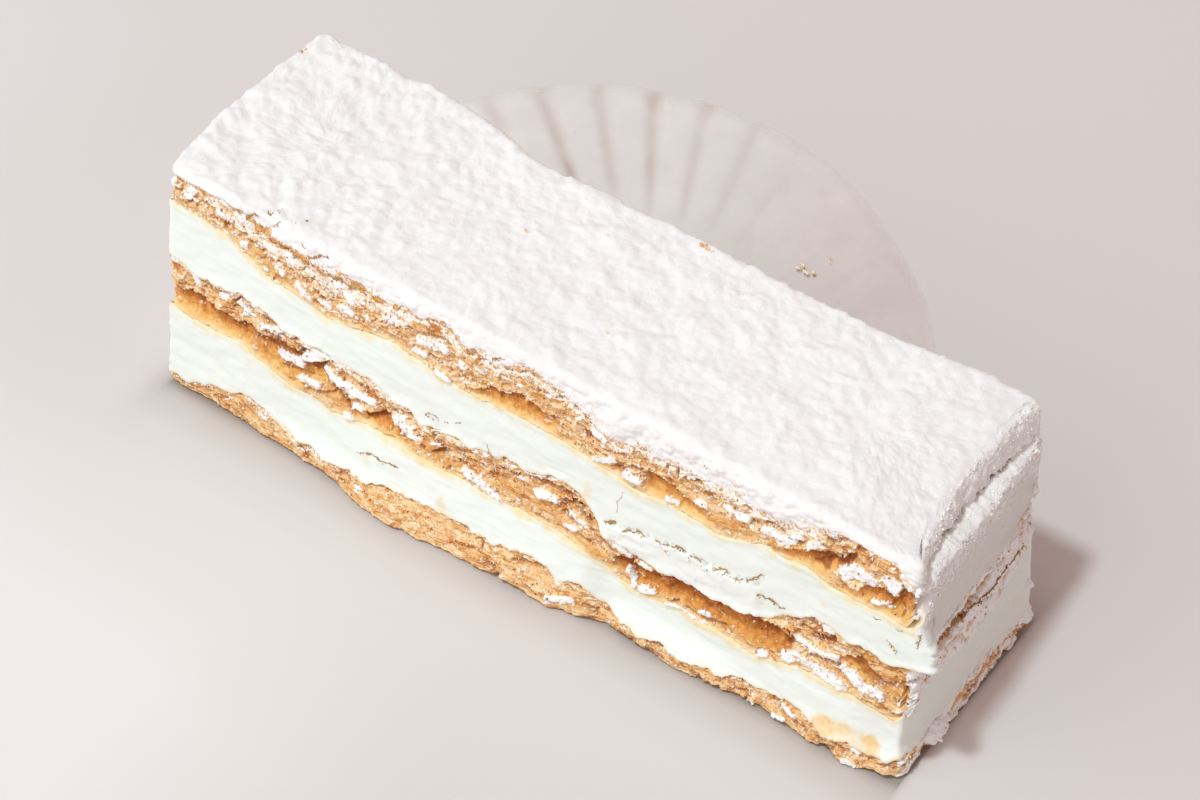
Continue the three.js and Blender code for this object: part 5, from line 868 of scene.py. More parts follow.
def scatter(layer, n, weight):
    """n random points on a layer's side: picks rows and columns by weight and gives place, tangent and outward directions."""
    w = np.clip(weight, 0, None)
    pick = rng.choice(w.size, n, p=(w / w.sum()).ravel())
    i, j = np.unravel_index(pick, w.shape)
    X, Y, NX, NY, F = layer["cols"]
    out = np.stack([NX[j], NY[j], 0 * NX[j]], -1)
    tan = np.stack([-NY[j], NX[j], 0 * NX[j]], -1)
    return layer["P"][i, j].astype(float), tan.astype(float), out.astype(float), i, j


FACE_SHARE = np.array([1.0, 0.9, 0.75, 0.75])
KEYS = ("tone", "cav", "sugar", "gold_and_hollow_shade", "down", "soak", "blend", "rim", "umber")
flake_v, flake_f, flake_a, at0 = [], [], {key: [] for key in KEYS}, 0


def put_flakes(v, f, per, n, **values):
    global at0
    flake_v.append(v)
    flake_f.append(f + at0)
    at0 += len(v)
    for key in KEYS:
        flake_a[key].append(np.repeat(values.get(key, np.zeros(n)), per))


def add_flakes(layer, n):
    """Torn ends of leaves that stick out a little, lying along the layer."""
    F = layer["cols"][4].astype(int)
    above = smooth(0.5, 1.4, layer["z"] - layer["zl"]) * (1 - smooth(-0.4, 0.3, layer["z"] - layer["zu"]))
    w = above * FACE_SHARE[F][None] * (1 - 0.9 * np.clip(layer["sugar"], 0, 1)) * (1 - 0.85 * layer["gold_and_hollow_shade"]) * (0.3 + 0.7 * layer["cav"])
    P, T, O, i, j = scatter(layer, n, w)
    L, W = np.clip(rng.lognormal(0.40, 0.45, n), 0.7, 3.4), rng.uniform(0.5, 1.1, n)
    centre = P + O * rng.uniform(-0.30, 0.05, n)[:, None]
    v, f, per = plates(centre, T, O, L, W, rng.uniform(0.07, 0.14, n), rng.normal(0, 0.28, n), rng.normal(-0.25, 0.3, n), rng.normal(0, 0.14, n), rng.normal(0, 0.10, n))
    put_flakes(v, f, per, n, tone=layer["tone"][i, j] + rng.normal(0.0, 0.14, n), cav=np.clip(layer["cav"][i, j] * 0.7, 0, 1), soak=layer["soak"][i, j] * 0.3, sugar=np.where(rng.random(n) < 0.15, 0.8, 0.0))


bit_v, bit_f, bit_a, bit_at = [], [], {key: [] for key in KEYS}, 0


def add_bits(layer, n, seed):
    """Crumbs of leaf and powder caught on the torn edges."""
    global bit_at
    F = layer["cols"][4].astype(int)
    shown = smooth(0.3, 1.0, layer["z"] - layer["zl"]) * (1 - smooth(-0.3, 0.5, layer["z"] - layer["zu"]))
    w = shown * np.array([1.0, 0.7, 0.5, 0.5])[F][None] * (1 - 0.75 * layer["gold_and_hollow_shade"])
    P, T, O, i, j = scatter(layer, n, w)
    rad = 0.07 + 0.17 * rng.random(n) ** 2
    v, f = balls(P + O * rng.uniform(-0.06, 0.10, n)[:, None], rad[:, None] * rng.uniform(0.5, 1.5, (n, 3)), 1, 0.5, seed)
    bit_v.append(v)
    bit_f.append(f + bit_at)
    bit_at += len(v)
    kind = rng.random(n)
    values = dict(
        tone=np.where(kind < 0.15, -0.1, layer["tone"][i, j] + rng.normal(0.0, 0.2, n)),
        cav=np.where(kind < 0.06, 0.8, 0.1),
        sugar=np.where(kind > 0.62, 1.0, 0.0),
    )
    for key in KEYS:
        bit_a[key].append(np.repeat(values.get(key, np.zeros(n)), len(v) // n))


for key, n in (("top", 300), ("middle", 380), ("bottom", 110)):
    add_flakes(info[key], n)
for k, (key, n) in enumerate((("top", 1500), ("middle", 1700), ("bottom", 700))):
    add_bits(info[key], n, 960 + k)
bits = mesh_object("pastry_bits", np.concatenate(bit_v), [], np.concatenate(bit_f), {k: np.concatenate(v) for k, v in bit_a.items()}, False)


EYE = np.array([189.6935, -274.3899, 360.7728])  # the camera: the threads were traced from there


def add_threads(threads, layers, grow=1.0):
    """Thin irregular threads, half sunk in the surface of the nearest layer."""
    cloud = np.concatenate([layer["P"].reshape(-1, 3) for layer in layers]).astype(float)
    rel = cloud - EYE
    square = (rel ** 2).sum(1)
    for radius, tone, points in threads:
        p = np.array(points, float)
        run = np.concatenate([[0], np.cumsum(np.linalg.norm(np.diff(p, axis=0), axis=1))])
        n = max(3, int(run[-1] / 0.22) + 1)
        at = np.linspace(0, run[-1], n)
        p = np.stack([np.interp(at, run, p[:, q]) for q in range(3)], -1)
        off = rng.uniform(0, 90)
        p = p + 0.24 * np.stack([perlin(at / 0.9, off + 9 * q, 0.3, 71) for q in range(3)], -1) + 0.14 * np.stack([perlin(at / 0.4, off + 9 * q, 0.3, 72) for q in range(3)], -1)
        out = np.empty_like(p)
        for q in range(n):
            u = p[q] - EYE
            far = np.linalg.norm(u)
            u = u / far
            par = rel @ u
            cost = square - par ** 2 + (0.15 * (par - far)) ** 2
            near = np.argpartition(cost, 4)[:4]
            w = 1 / (cost[near] + 0.02)
            out[q] = EYE + u * ((par[near] * w).sum() / w.sum() - 0.15 * radius)
        tangent = np.gradient(out, axis=0)
        tangent /= np.linalg.norm(tangent, axis=1)[:, None] + 1e-9
        toward = EYE - out
        toward /= np.linalg.norm(toward, axis=1)[:, None]
        across = np.cross(tangent, toward)
        across /= np.linalg.norm(across, axis=1)[:, None] + 1e-9
        toward = np.cross(across, tangent)
        r = grow * radius * (0.34 + 1.0 * np.abs(perlin(at / 0.7, off, 0.9, 73)) + 0.35 * perlin(at / 0.25, off, 0.9, 74))
        r = np.clip(r * (0.35 + 0.65 * np.sin(np.pi * np.linspace(0.06, 0.94, n)) ** 0.5), 0.02, None)
        ang = np.arange(6) / 6 * 2 * np.pi
        ring = out[:, None] + (np.cos(ang)[None, :, None] * across[:, None] + 0.6 * np.sin(ang)[None, :, None] * toward[:, None]) * r[:, None, None]
        v = np.concatenate([ring.reshape(-1, 3), out[:1], out[-1:]])
        k, j = np.arange(n - 1)[:, None] * 6, np.arange(6)[None]
        i = (j + 1) % 6
        f = np.concatenate([np.stack([k + j, k + 6 + j, k + 6 + i], -1).reshape(-1, 3), np.stack([k + j, k + 6 + i, k + i], -1).reshape(-1, 3)])
        j, i, last = j[0], i[0], (n - 1) * 6
        f = np.concatenate([f, np.stack([np.full(6, n * 6), j, i], -1), np.stack([np.full(6, n * 6 + 1), last + i, last + j], -1)])
        put_flakes(v, f, len(v), 1, tone=np.array([tone + 0.1]), umber=np.array([0.85]))
        if radius > 0.12:
            # crumbs along it
            m = max(3, int(run[-1] / 0.28))
            pick = rng.integers(0, n, m)
            c = out[pick] + across[pick] * rng.normal(0, 0.26, m)[:, None]
            v, f = balls(c, rng.uniform(0.05, 0.15, (m, 1)) * rng.uniform(0.5, 1.5, (m, 3)), 1, 0.5, 990)
            put_flakes(v, f, len(v) // m, m, tone=np.full(m, tone + 0.1), umber=np.full(m, 0.8))


add_threads(CREAM_THREADS, (info["cream_upper"], info["cream_lower"]))
add_threads(SUGAR_THREADS, (info["sugar"],))
# painted shadow: dark threads laid in the gap over the middle sheet on the right end, where the cream above shades it
END_GAP = [(0.30, -0.2, [(65.0, -10.9, 23.3), (65.0, -7.6, 23.1)]), (0.55, -0.2, [(65.0, -7.6, 23.1), (65.0, -4.0, 22.0)]), (0.28, -0.2, [(65.0, -4.0, 22.0), (65.0, 2.4, 20.3), (65.0, 6.8, 21.0)]), (0.2, -0.2, [(65.0, 6.8, 21.0), (65.0, 11.3, 21.6)])]
add_threads(END_GAP, (info["cream_upper"], info["middle"]))
flakes = mesh_object("pastry_flakes", np.concatenate(flake_v), [], np.concatenate(flake_f), {k: np.concatenate(v) for k, v in flake_a.items()}, False)

# lumps of sugar on the patches, on the shelf of cream, and at the corners
lump_c, lump_r = [], []


def heap(layer, spots, density, size):
    s0, z = layer["s0"], layer["z"]
    X, Y, NX, NY, F = layer["cols"]
    for q in spots:
        r = ((s0 - q[0]) / (q[2] * 0.5)) ** 2 + ((z - q[1]) / (q[3] * 0.5)) ** 2
        w = np.clip(1.15 - r, 0, None)
        if w.sum() <= 0:
            continue
        n = max(1, int(q[2] * q[3] * density))
        pick = rng.choice(w.size, n, p=(w / w.sum()).ravel())
        i, j = np.unravel_index(pick, w.shape)
        rad = rng.uniform(0.5, 1.0, n) * size * rng.choice([1.0, 0.7, 0.5], n)
        O = np.stack([NX[j], NY[j], 0 * NX[j]], -1)
        lump_c.append(layer["P"][i, j] - O * (0.35 * rad)[:, None])
        lump_r.append(np.stack([rad * rng.uniform(1.0, 1.9, n), rad * rng.uniform(0.7, 1.0, n), rad * rng.uniform(0.55, 0.95, n)], -1))


def spots_of(lines):
    return [(x, z, max(width, 1.2) * 1.3, width) for width, strength, points in lines for x, z in points]


heap(info["top"], TOP_PATCHES + spots_of(TOP_WHITE), 0.45, 0.30)
heap(info["middle"], MID_PATCHES + spots_of(MID_WHITE), 0.45, 0.32)
heap(info["bottom"], BOTTOM_PATCHES + spots_of(LOW_WHITE), 0.45, 0.30)
heap(info["bottom"], [(991.0, 2.6, 5.0, 3.4)], 1.2, 0.6)
heap(info["cream_upper"], [(x, float(through(LEDGES[0][2], x)) - drop, 2.4, 1.4) for x in np.arange(15.5, 41.0, 1.7) for drop in (0.5, 1.9, 3.4)], 0.55, 0.26)
for x, y, z, size, n in ((62.7, 16.6, 27.8, 0.75, 7), (64.3, 16.5, 9.2, 0.80, 8), (64.7, 16.4, 3.0, 0.7, 5), (64.4, -17.6, 38.4, 0.5, 3), (64.5, -17.0, 32.8, 0.45, 7)):
    lump_c.append(np.array([x, y, z]) + rng.normal(0, size * 0.6, (n, 3)))
    lump_r.append(size * rng.uniform(0.4, 1.0, (n, 1)) * rng.uniform(0.7, 1.1, (n, 3)))
v, f = balls(np.concatenate(lump_c).astype(float), np.concatenate(lump_r).astype(float), 2, 0.45, 900)
clumps = mesh_object("icing_sugar_lumps", v, [], f, {"crack": np.zeros(len(v)), "end": np.zeros(len(v)), "dim": np.zeros(len(v)), "thin": np.zeros(len(v))})

# single grains
g_c, g_r, g_e = [], [], []


def grains(layer, n, weight, lo, hi, out=0.05):
    P, T, O, i, j = scatter(layer, n, weight)
    rad = lo + (hi - lo) * rng.random(n) ** 2
    g_c.append(P + O * (out + rad * 0.2)[:, None])
    g_r.append(rad[:, None] * rng.uniform(0.7, 1.25, (n, 3)))
    g_e.append((layer["cols"][4][j] == 1).astype(float))


a = info["cream_upper"]
grains(a, 500, a["sugar"] * (a["cols"][4] == 1), 0.10, 0.24, 0.0)
a = info["sugar"]
rows = len(a["P"])
spread = np.linalg.norm(np.roll(a["P"], -1, 1) - a["P"], axis=-1)
w = spread * np.where(np.arange(rows)[:, None] < 3, 0, 1) * (a["right"][None] * (a["up"] < 0.9) > 0.3)
P, T, O, i, j = scatter(a, 1300, w)
rad = 0.07 + 0.14 * rng.random(1300) ** 2
up = a["up"][i, j][:, None]
g_c.append(P + (O * (1 - up) + np.array([0, 0, 1.0]) * up) * (rad * 0.05)[:, None])
g_r.append(rad[:, None] * rng.uniform(0.8, 1.3, (len(rad), 3)))
g_e.append(a["right"][j] * (1 - a["up"][i, j]))
v, f = balls(np.concatenate(g_c), np.concatenate(g_r), 1, 0.3, 950)
# ends: where grains lie on the right end, for the painted light there
ends = np.repeat(np.concatenate(g_e), len(v) // len(np.concatenate(g_e)))
sugar_grains = mesh_object("icing_sugar_grains", v, [], f, {"crack": np.zeros(len(v)), "end": ends, "dim": np.zeros(len(v)), "thin": np.zeros(len(v))})


# ----------------------------------------------------------------- paper case
def paper(name):
    rim_c, base_c, base_r, flutes = (-24.0, 33.0), (-14.0, 28.0), 21.0, 34
    per, bands = 12, 34
    deg = np.arange(flutes * per) * 360 / (flutes * per)
    phase = ((np.arange(flutes * per) + 4) % per) / per
    a = np.radians(deg)
    rim = 50.0 + 0 * deg
    for at, width, amount in ((126, 34, 2.6), (16, 30, 5.2), (84, 26, 1.3)):
        dd = (deg - at + 540) % 360 - 180
        rim = rim + amount * np.exp(-((dd / width) ** 2))
    which = np.round((np.arange(flutes * per) + 4) / per)
    groove = np.exp(-((phase / 0.15) ** 2)) + np.exp(-(((phase - 1.0) / 0.15) ** 2))
    groove = groove * (0.75 + 0.45 * perlin(which * 0.73, 0.4, 0.2, 35))
    sharp = 0.15 + 0.85 * smooth(64, 116, deg) * (1 - smooth(215, 270, deg))
    rim = rim + 0.35 * perlin(deg / 14, 0.1, 0.1, 3) + 0.2 * perlin(deg / 4, 0.1, 0.1, 33) - 0.15 * groove * sharp
    rows, dark, edge = [], [], []
    for t in np.concatenate([[-0.62, -0.3], np.linspace(0, 1, bands)]):
        if t < 0:
            x = base_c[0] + base_r * (1 + t) * np.cos(a); y = base_c[1] + base_r * (1 + t) * np.sin(a)
        else:
            x = base_c[0] + base_r * np.cos(a) + (rim_c[0] + rim * np.cos(a) - base_c[0] - base_r * np.cos(a)) * t
            y = base_c[1] + base_r * np.sin(a) + (rim_c[1] + rim * np.sin(a) - base_c[1] - base_r * np.sin(a)) * t
        out = np.hypot(np.maximum(0, np.abs(x) - 66), np.maximum(0, np.abs(y) - 19))
        tt = max(t, 0)
        free = smooth(1.5, 14, out) * smooth(0.0, 0.45, tt)
        z = free * (0.25 * tt + 0.75 * tt ** 0.7 * (1 - groove) * sharp) * (1 - 0.7 * smooth(0.9, 1.0, tt))
        soft = fbm(x / 7, y / 7, 0.3, 3, 0.55, 12)
        z = z + free * 0.40 * soft * tt * (1.2 - 0.6 * sharp) * (1 - 0.7 * smooth(0.9, 1.0, tt)) + 0.08 * perlin(x / 1.6, y / 1.6, 0.8, 13) * smooth(0, 4, out)
        z = z * (1 - smooth(0.93, 1.0, tt))
        rows.append(np.stack([x, y, np.maximum(z, 0) + 0.02], -1))
        edge.append(smooth(0.955, 0.995, tt) + 0 * x)
        # painted shade in the pleats: the grooves are painted darker where the pleats are sharp
        dark.append(groove * sharp * smooth(0.1, 0.5, tt) * (0.75 + 0.5 * perlin(x / 6, y / 6, 0.6, 14)))
    P = np.array(rows)
    R, M = P.shape[:2]
    top = P.copy()
    top[..., 2] += 0.03
    verts = np.concatenate([P.reshape(-1, 3), top.reshape(-1, 3), [P[0].mean(0), top[0].mean(0)]])
    side = ring_faces(R, M)
    quads_up = side + R * M
    quads_dn = side[:, ::-1]
    j = np.arange(M)
    n = (j + 1) % M
    lo, hi = (R - 1) * M, R * M + (R - 1) * M
    rim_faces = np.stack([lo + j, lo + n, hi + n, hi + j], -1)
    # rows go outwards here, so the top sheet's faces are turned over to face up
    quads_up = quads_up[:, ::-1]
    quads_dn = quads_dn[:, ::-1]
    c0, c1 = 2 * R * M, 2 * R * M + 1
    tris = np.concatenate([np.stack([np.full(M, c0), n, j], -1), np.stack([np.full(M, c1), R * M + j, R * M + n], -1)])
    dark, edge = np.array(dark).ravel(), np.array(edge).ravel()
    return mesh_object(name, verts, np.concatenate([quads_up, quads_dn, rim_faces]), tris, dict(groove=np.concatenate([dark, dark, [0, 0]]), edge=np.concatenate([edge, edge, [0, 0]])))


pieces["paper_case"] = paper("paper_case_fluted")


# crumbs that fell on the paper and on the sugar, where the photograph shows them
def crumbs():
    V, Fc, base, tone, white = [], [], 0, [], []
    for x, y, z, size, n, t, w in (
        (-1.0, 59.2, 0.9, 0.42, 7, 1.0, 0.35), (0.4, 58.3, 0.9, 0.36, 5, 1.0, 0.5), (1.4, 58.7, 0.9, 0.40, 2, 0.45, 0.0), (1.9, 63.2, 0.9, 0.36, 2, 0.6, 0.0),
        (8.4, 15.3, 43.3, 0.40, 4, 0.4, 0.0), (9.6, 15.0, 43.2, 0.3, 3, 0.45, 0.0), (-14.0, 2.7, 43.3, 0.28, 2, 0.4, 0.0), (7.3, -6.9, 43.3, 0.22, 1, 0.5, 0.0), (-64.4, 15.6, 42.6, 0.4, 2, 0.3, 0.0),
    ):
        c = np.array([x, y, z]) + rng.normal(0, size * 0.9, (n, 3)) * np.array([1, 1, 0.10])
        r = size * rng.uniform(0.45, 1.0, (n, 1)) * rng.uniform(0.5, 1.1, (n, 3))
        v, f = balls(c, r * np.array([1, 1, 0.55]), 2, 0.5, 980 + n)
        V.append(v); Fc.append(f + base); base += len(v); tone.append(np.full(len(v), t)); white.append(np.full(len(v), w))
    at = {key: np.zeros(base) for key in KEYS}
    at.update(tone=np.concatenate(tone), sugar=np.concatenate(white))
    return mesh_object("pastry_crumbs", np.concatenate(V), [], np.concatenate(Fc), at, False)


crumb = crumbs()


# ------------------------------------------------------------------ materials
def nodes_of(name):
    mat = bpy.data.materials.new(name)
    mat.use_nodes = True
    nt = mat.node_tree
    return mat, nt, nt.nodes["Principled BSDF"]


def attr(nt, name):
    n = nt.nodes.new("ShaderNodeAttribute")
    n.attribute_name = name
    return n.outputs["Fac"]


def noise(nt, coord, scale, detail=3, rough=0.55):
    n = nt.nodes.new("ShaderNodeTexNoise")
    n.inputs["Scale"].default_value = scale
    n.inputs["Detail"].default_value = detail
    n.inputs["Roughness"].default_value = rough
    nt.links.new(coord, n.inputs["Vector"])
    return n.outputs["Fac"]


def ramp(nt, fac, stops):
    n = nt.nodes.new("ShaderNodeValToRGB")
    els = n.color_ramp.elements
    while len(els) < len(stops):
        els.new(0.5)
    for e, (p, c) in zip(els, stops):
        e.position = p
        e.color = (*c, 1) if len(c) == 3 else c
    nt.links.new(fac, n.inputs["Fac"])
    return n.outputs["Color"]


def mix(nt, fac, a, b):
    n = nt.nodes.new("ShaderNodeMix")
    n.data_type = "RGBA"
    for sock, v in ((n.inputs[0], fac), (n.inputs[6], a), (n.inputs[7], b)):
        if isinstance(v, (int, float)):
            sock.default_value = v
        elif isinstance(v, tuple):
            sock.default_value = (*v, 1)
        else:
            nt.links.new(v, sock)
    return n.outputs[2]


def maths(nt, op, a, b=None, clamp=False):
    n = nt.nodes.new("ShaderNodeMath")
    n.operation = op
    n.use_clamp = clamp
    for i, v in enumerate((a, b)):
        if v is None:
            continue
        if isinstance(v, (int, float)):
            n.inputs[i].default_value = v
        else:
            nt.links.new(v, n.inputs[i])
    return n.outputs[0]


def lin(r, g, b):
    """sRGB 0-255 to linear."""
    return tuple((c / 255 / 12.92) if c / 255 <= 0.04045 else ((c / 255 + 0.055) / 1.055) ** 2.4 for c in (r, g, b))


def bump(nt, bsdf, height, strength, distance):
    n = nt.nodes.new("ShaderNodeBump")
    n.inputs["Strength"].default_value = strength
    n.inputs["Distance"].default_value = distance
    nt.links.new(height, n.inputs["Height"])
    nt.links.new(n.outputs["Normal"], bsdf.inputs["Normal"])


def object_coord(nt):
    return nt.nodes.new("ShaderNodeTexCoord").outputs["Object"]


def pastry_material(name):
    mat, nt, bsdf = nodes_of(name)
    co = object_coord(nt)
    fine_n = noise(nt, co, 1500, 4, 0.6)
    mid_n = noise(nt, co, 420, 3, 0.6)
    stretch = nt.nodes.new("ShaderNodeMapping")
    stretch.inputs["Scale"].default_value = (1.0, 1.0, 4.5)
    nt.links.new(co, stretch.inputs["Vector"])
    strata = noise(nt, stretch.outputs["Vector"], 620, 3, 0.55)
    t = maths(nt, "ADD", attr(nt, "tone"), maths(nt, "MULTIPLY", maths(nt, "SUBTRACT", mid_n, 0.5), 0.40))
    t = maths(nt, "ADD", t, maths(nt, "MULTIPLY", maths(nt, "SUBTRACT", strata, 0.5), 0.55))
    t = maths(nt, "ADD", t, maths(nt, "MULTIPLY", maths(nt, "SUBTRACT", fine_n, 0.5), 0.35))
    base = ramp(nt, t, [(0.02, lin(190, 118, 58)), (0.26, lin(224, 166, 100)), (0.50, lin(241, 199, 141)), (0.74, lin(250, 220, 174)), (1.0, lin(254, 238, 206))])
    # painted shade: recessed places are painted amber, and the deepest dark brown
    cav = attr(nt, "cav")
    amber = mix(nt, maths(nt, "MULTIPLY", cav, 0.75, True), base, lin(222, 144, 70))
    dark = mix(nt, maths(nt, "MULTIPLY", maths(nt, "SUBTRACT", cav, 0.60), 2.2, True), amber, lin(144, 68, 25))
    # painted shade in the hollows: dark brown under the leaf above, then golden, then into the cream
    stand = nt.nodes.new("ShaderNodeMapping")
    stand.inputs["Scale"].default_value = (1.0, 1.0, 0.55)
    nt.links.new(co, stand.inputs["Vector"])
    fibre = noise(nt, stand.outputs["Vector"], 850, 3, 0.6)
    down = maths(nt, "ADD", attr(nt, "down"), maths(nt, "MULTIPLY", maths(nt, "SUBTRACT", fibre, 0.5), 0.45))
    down = maths(nt, "ADD", down, maths(nt, "MULTIPLY", maths(nt, "SUBTRACT", fine_n, 0.5), 0.55))
    hollow = ramp(nt, down, [(0.04, lin(104, 46, 14)), (0.19, lin(168, 90, 34)), (0.42, lin(220, 148, 70)), (0.70, lin(241, 194, 116)), (1.0, lin(249, 224, 170))])
    golden = mix(nt, maths(nt, "MULTIPLY", attr(nt, "gold_and_hollow_shade"), 0.90, True), dark, hollow)
    soaked = mix(nt, maths(nt, "MULTIPLY", attr(nt, "soak"), 0.50, True), golden, lin(246, 204, 138))
    # brown specks of baked leaf
    speck = noise(nt, co, 2500, 2, 0.5)
    speck = maths(nt, "MULTIPLY", maths(nt, "SUBTRACT", speck, 0.58), 8.0, True)
    hidden = maths(nt, "SUBTRACT", 0.6, maths(nt, "MULTIPLY", attr(nt, "gold_and_hollow_shade"), 0.3), True)
    specked = mix(nt, maths(nt, "MULTIPLY", speck, hidden, True), soaked, lin(156, 92, 46))
    # dark rim lines: partly baked brown, partly painted shade in crevices and under overhangs
    rimmed = mix(nt, maths(nt, "MULTIPLY", attr(nt, "rim"), 0.85, True), specked, lin(142, 74, 31))
    # dirt colour on the threads, which on the right end's gap is painted shadow
    dirt_and_gap_shaded = mix(nt, attr(nt, "umber"), rimmed, mix(nt, mid_n, lin(132, 98, 60), lin(186, 150, 104)))
    wet = mix(nt, maths(nt, "MULTIPLY", maths(nt, "POWER", attr(nt, "blend"), 1.3), 0.85, True), dirt_and_gap_shaded, lin(251, 229, 184))
    # fine powder on whatever faces up
    geo = nt.nodes.new("ShaderNodeNewGeometry")
    sep = nt.nodes.new("ShaderNodeSeparateXYZ")
    nt.links.new(geo.outputs["Normal"], sep.inputs[0])
    dustn = noise(nt, co, 2700, 3, 0.6)
    up = maths(nt, "MULTIPLY", maths(nt, "ADD", sep.outputs["Z"], 0.1), 0.10)
    dusty = maths(nt, "MULTIPLY", maths(nt, "SUBTRACT", maths(nt, "ADD", dustn, up), 0.62), 9.0, True)
    clear = maths(nt, "SUBTRACT", 1.0, maths(nt, "MAXIMUM", attr(nt, "soak"), attr(nt, "gold_and_hollow_shade")), True)
    dusty = maths(nt, "MULTIPLY", dusty, clear, True)
    sug = maths(nt, "MULTIPLY", maths(nt, "SUBTRACT", maths(nt, "ADD", attr(nt, "sugar"), maths(nt, "MULTIPLY", maths(nt, "SUBTRACT", dustn, 0.5), 1.7)), 0.40), 3.5, True)
    white = maths(nt, "MAXIMUM", maths(nt, "MULTIPLY", dusty, maths(nt, "SUBTRACT", 0.75, attr(nt, "umber"), True)), sug)
    final = mix(nt, white, wet, lin(251, 250, 249))
    nt.links.new(final, bsdf.inputs["Base Color"])
    rough = maths(nt, "ADD", maths(nt, "MULTIPLY", mid_n, 0.3), 0.55)
    nt.links.new(rough, bsdf.inputs["Roughness"])
    bsdf.inputs["Specular IOR Level"].default_value = 0.15
    bump(nt, bsdf, maths(nt, "ADD", maths(nt, "MULTIPLY", fine_n, 0.6), strata), 0.40, 0.00022)
    return mat


def cream_material(name):
    mat, nt, bsdf = nodes_of(name)
    co = object_coord(nt)
    n1 = noise(nt, co, 90, 3, 0.5)
    n2 = noise(nt, co, 900, 3, 0.6)
    base = ramp(nt, n1, [(0.3, lin(240, 249, 240)), (0.7, lin(244, 250, 245))])
    shaded = mix(nt, attr(nt, "shade"), base, lin(224, 218, 213))
    warm = mix(nt, maths(nt, "MULTIPLY", attr(nt, "warm"), maths(nt, "ADD", n1, 0.4), True), shaded, lin(249, 223, 170))
    stained = mix(nt, maths(nt, "MULTIPLY", attr(nt, "stain"), maths(nt, "ADD", n2, 0.35), True), warm, lin(244, 204, 138))
    powder = mix(nt, attr(nt, "sugar"), stained, lin(249, 248, 247))
    cracked = mix(nt, maths(nt, "MULTIPLY", attr(nt, "dark"), maths(nt, "ADD", n2, 0.35), True), powder, lin(150, 118, 70))
    nt.links.new(cracked, bsdf.inputs["Base Color"])
    bsdf.inputs["Subsurface Weight"].default_value = 0.3
    bsdf.inputs["Subsurface Radius"].default_value = (1.0, 0.9, 0.7)
    bsdf.inputs["Subsurface Scale"].default_value = 0.0012
    rough = maths(nt, "ADD", maths(nt, "MULTIPLY", n2, 0.25), 0.45)
    nt.links.new(rough, bsdf.inputs["Roughness"])
    bsdf.inputs["Specular IOR Level"].default_value = 0.25
    bump(nt, bsdf, maths(nt, "ADD", n2, maths(nt, "MULTIPLY", n1, 2.0)), 0.20, 0.0002)
    return mat


def sugar_material(name):
    mat, nt, bsdf = nodes_of(name)
    co = object_coord(nt)
    n1 = noise(nt, co, 160, 3, 0.5)
    n2 = noise(nt, co, 2300, 3, 0.7)
    base = ramp(nt, n1, [(0.3, lin(249, 246, 245)), (0.65, lin(252, 251, 250))])
    # painted shade: the coat is painted darker where dim is set
    dimmed = mix(nt, attr(nt, "dim"), base, lin(241, 238, 237))
    n3 = noise(nt, co, 2700, 3, 0.65)
    n4 = noise(nt, co, 900, 3, 0.6)
    through_it = maths(nt, "ADD", maths(nt, "MULTIPLY", attr(nt, "thin"), 0.30), maths(nt, "ADD", maths(nt, "MULTIPLY", n3, 0.75), maths(nt, "MULTIPLY", n4, 0.35)))
    bare = maths(nt, "MULTIPLY", maths(nt, "MULTIPLY", maths(nt, "SUBTRACT", through_it, 0.74), 9.0, True), maths(nt, "MULTIPLY", attr(nt, "thin"), 3.0, True), True)
    showing = ramp(nt, n4, [(0.35, lin(176, 116, 62)), (0.6, lin(228, 176, 112))])
    dimmed = mix(nt, bare, dimmed, showing)
    # painted light: on the right end, which lies in shade, the coat is painted its brightest white
    ended = mix(nt, attr(nt, "end"), dimmed, lin(253, 251, 249))
    # painted shade: the crack under the wall on the right end is painted dark brown-grey
    cracked = mix(nt, maths(nt, "MULTIPLY", attr(nt, "crack"), 1.2, True), ended, lin(104, 84, 72))
    nt.links.new(cracked, bsdf.inputs["Base Color"])
    bsdf.inputs["Roughness"].default_value = 0.95
    bsdf.inputs["Specular IOR Level"].default_value = 0.1
    bsdf.inputs["Subsurface Weight"].default_value = 0.25
    bsdf.inputs["Subsurface Radius"].default_value = (1.0, 0.95, 0.95)
    bsdf.inputs["Subsurface Scale"].default_value = 0.0006
    bump(nt, bsdf, n2, 0.45, 0.0002)
    return mat


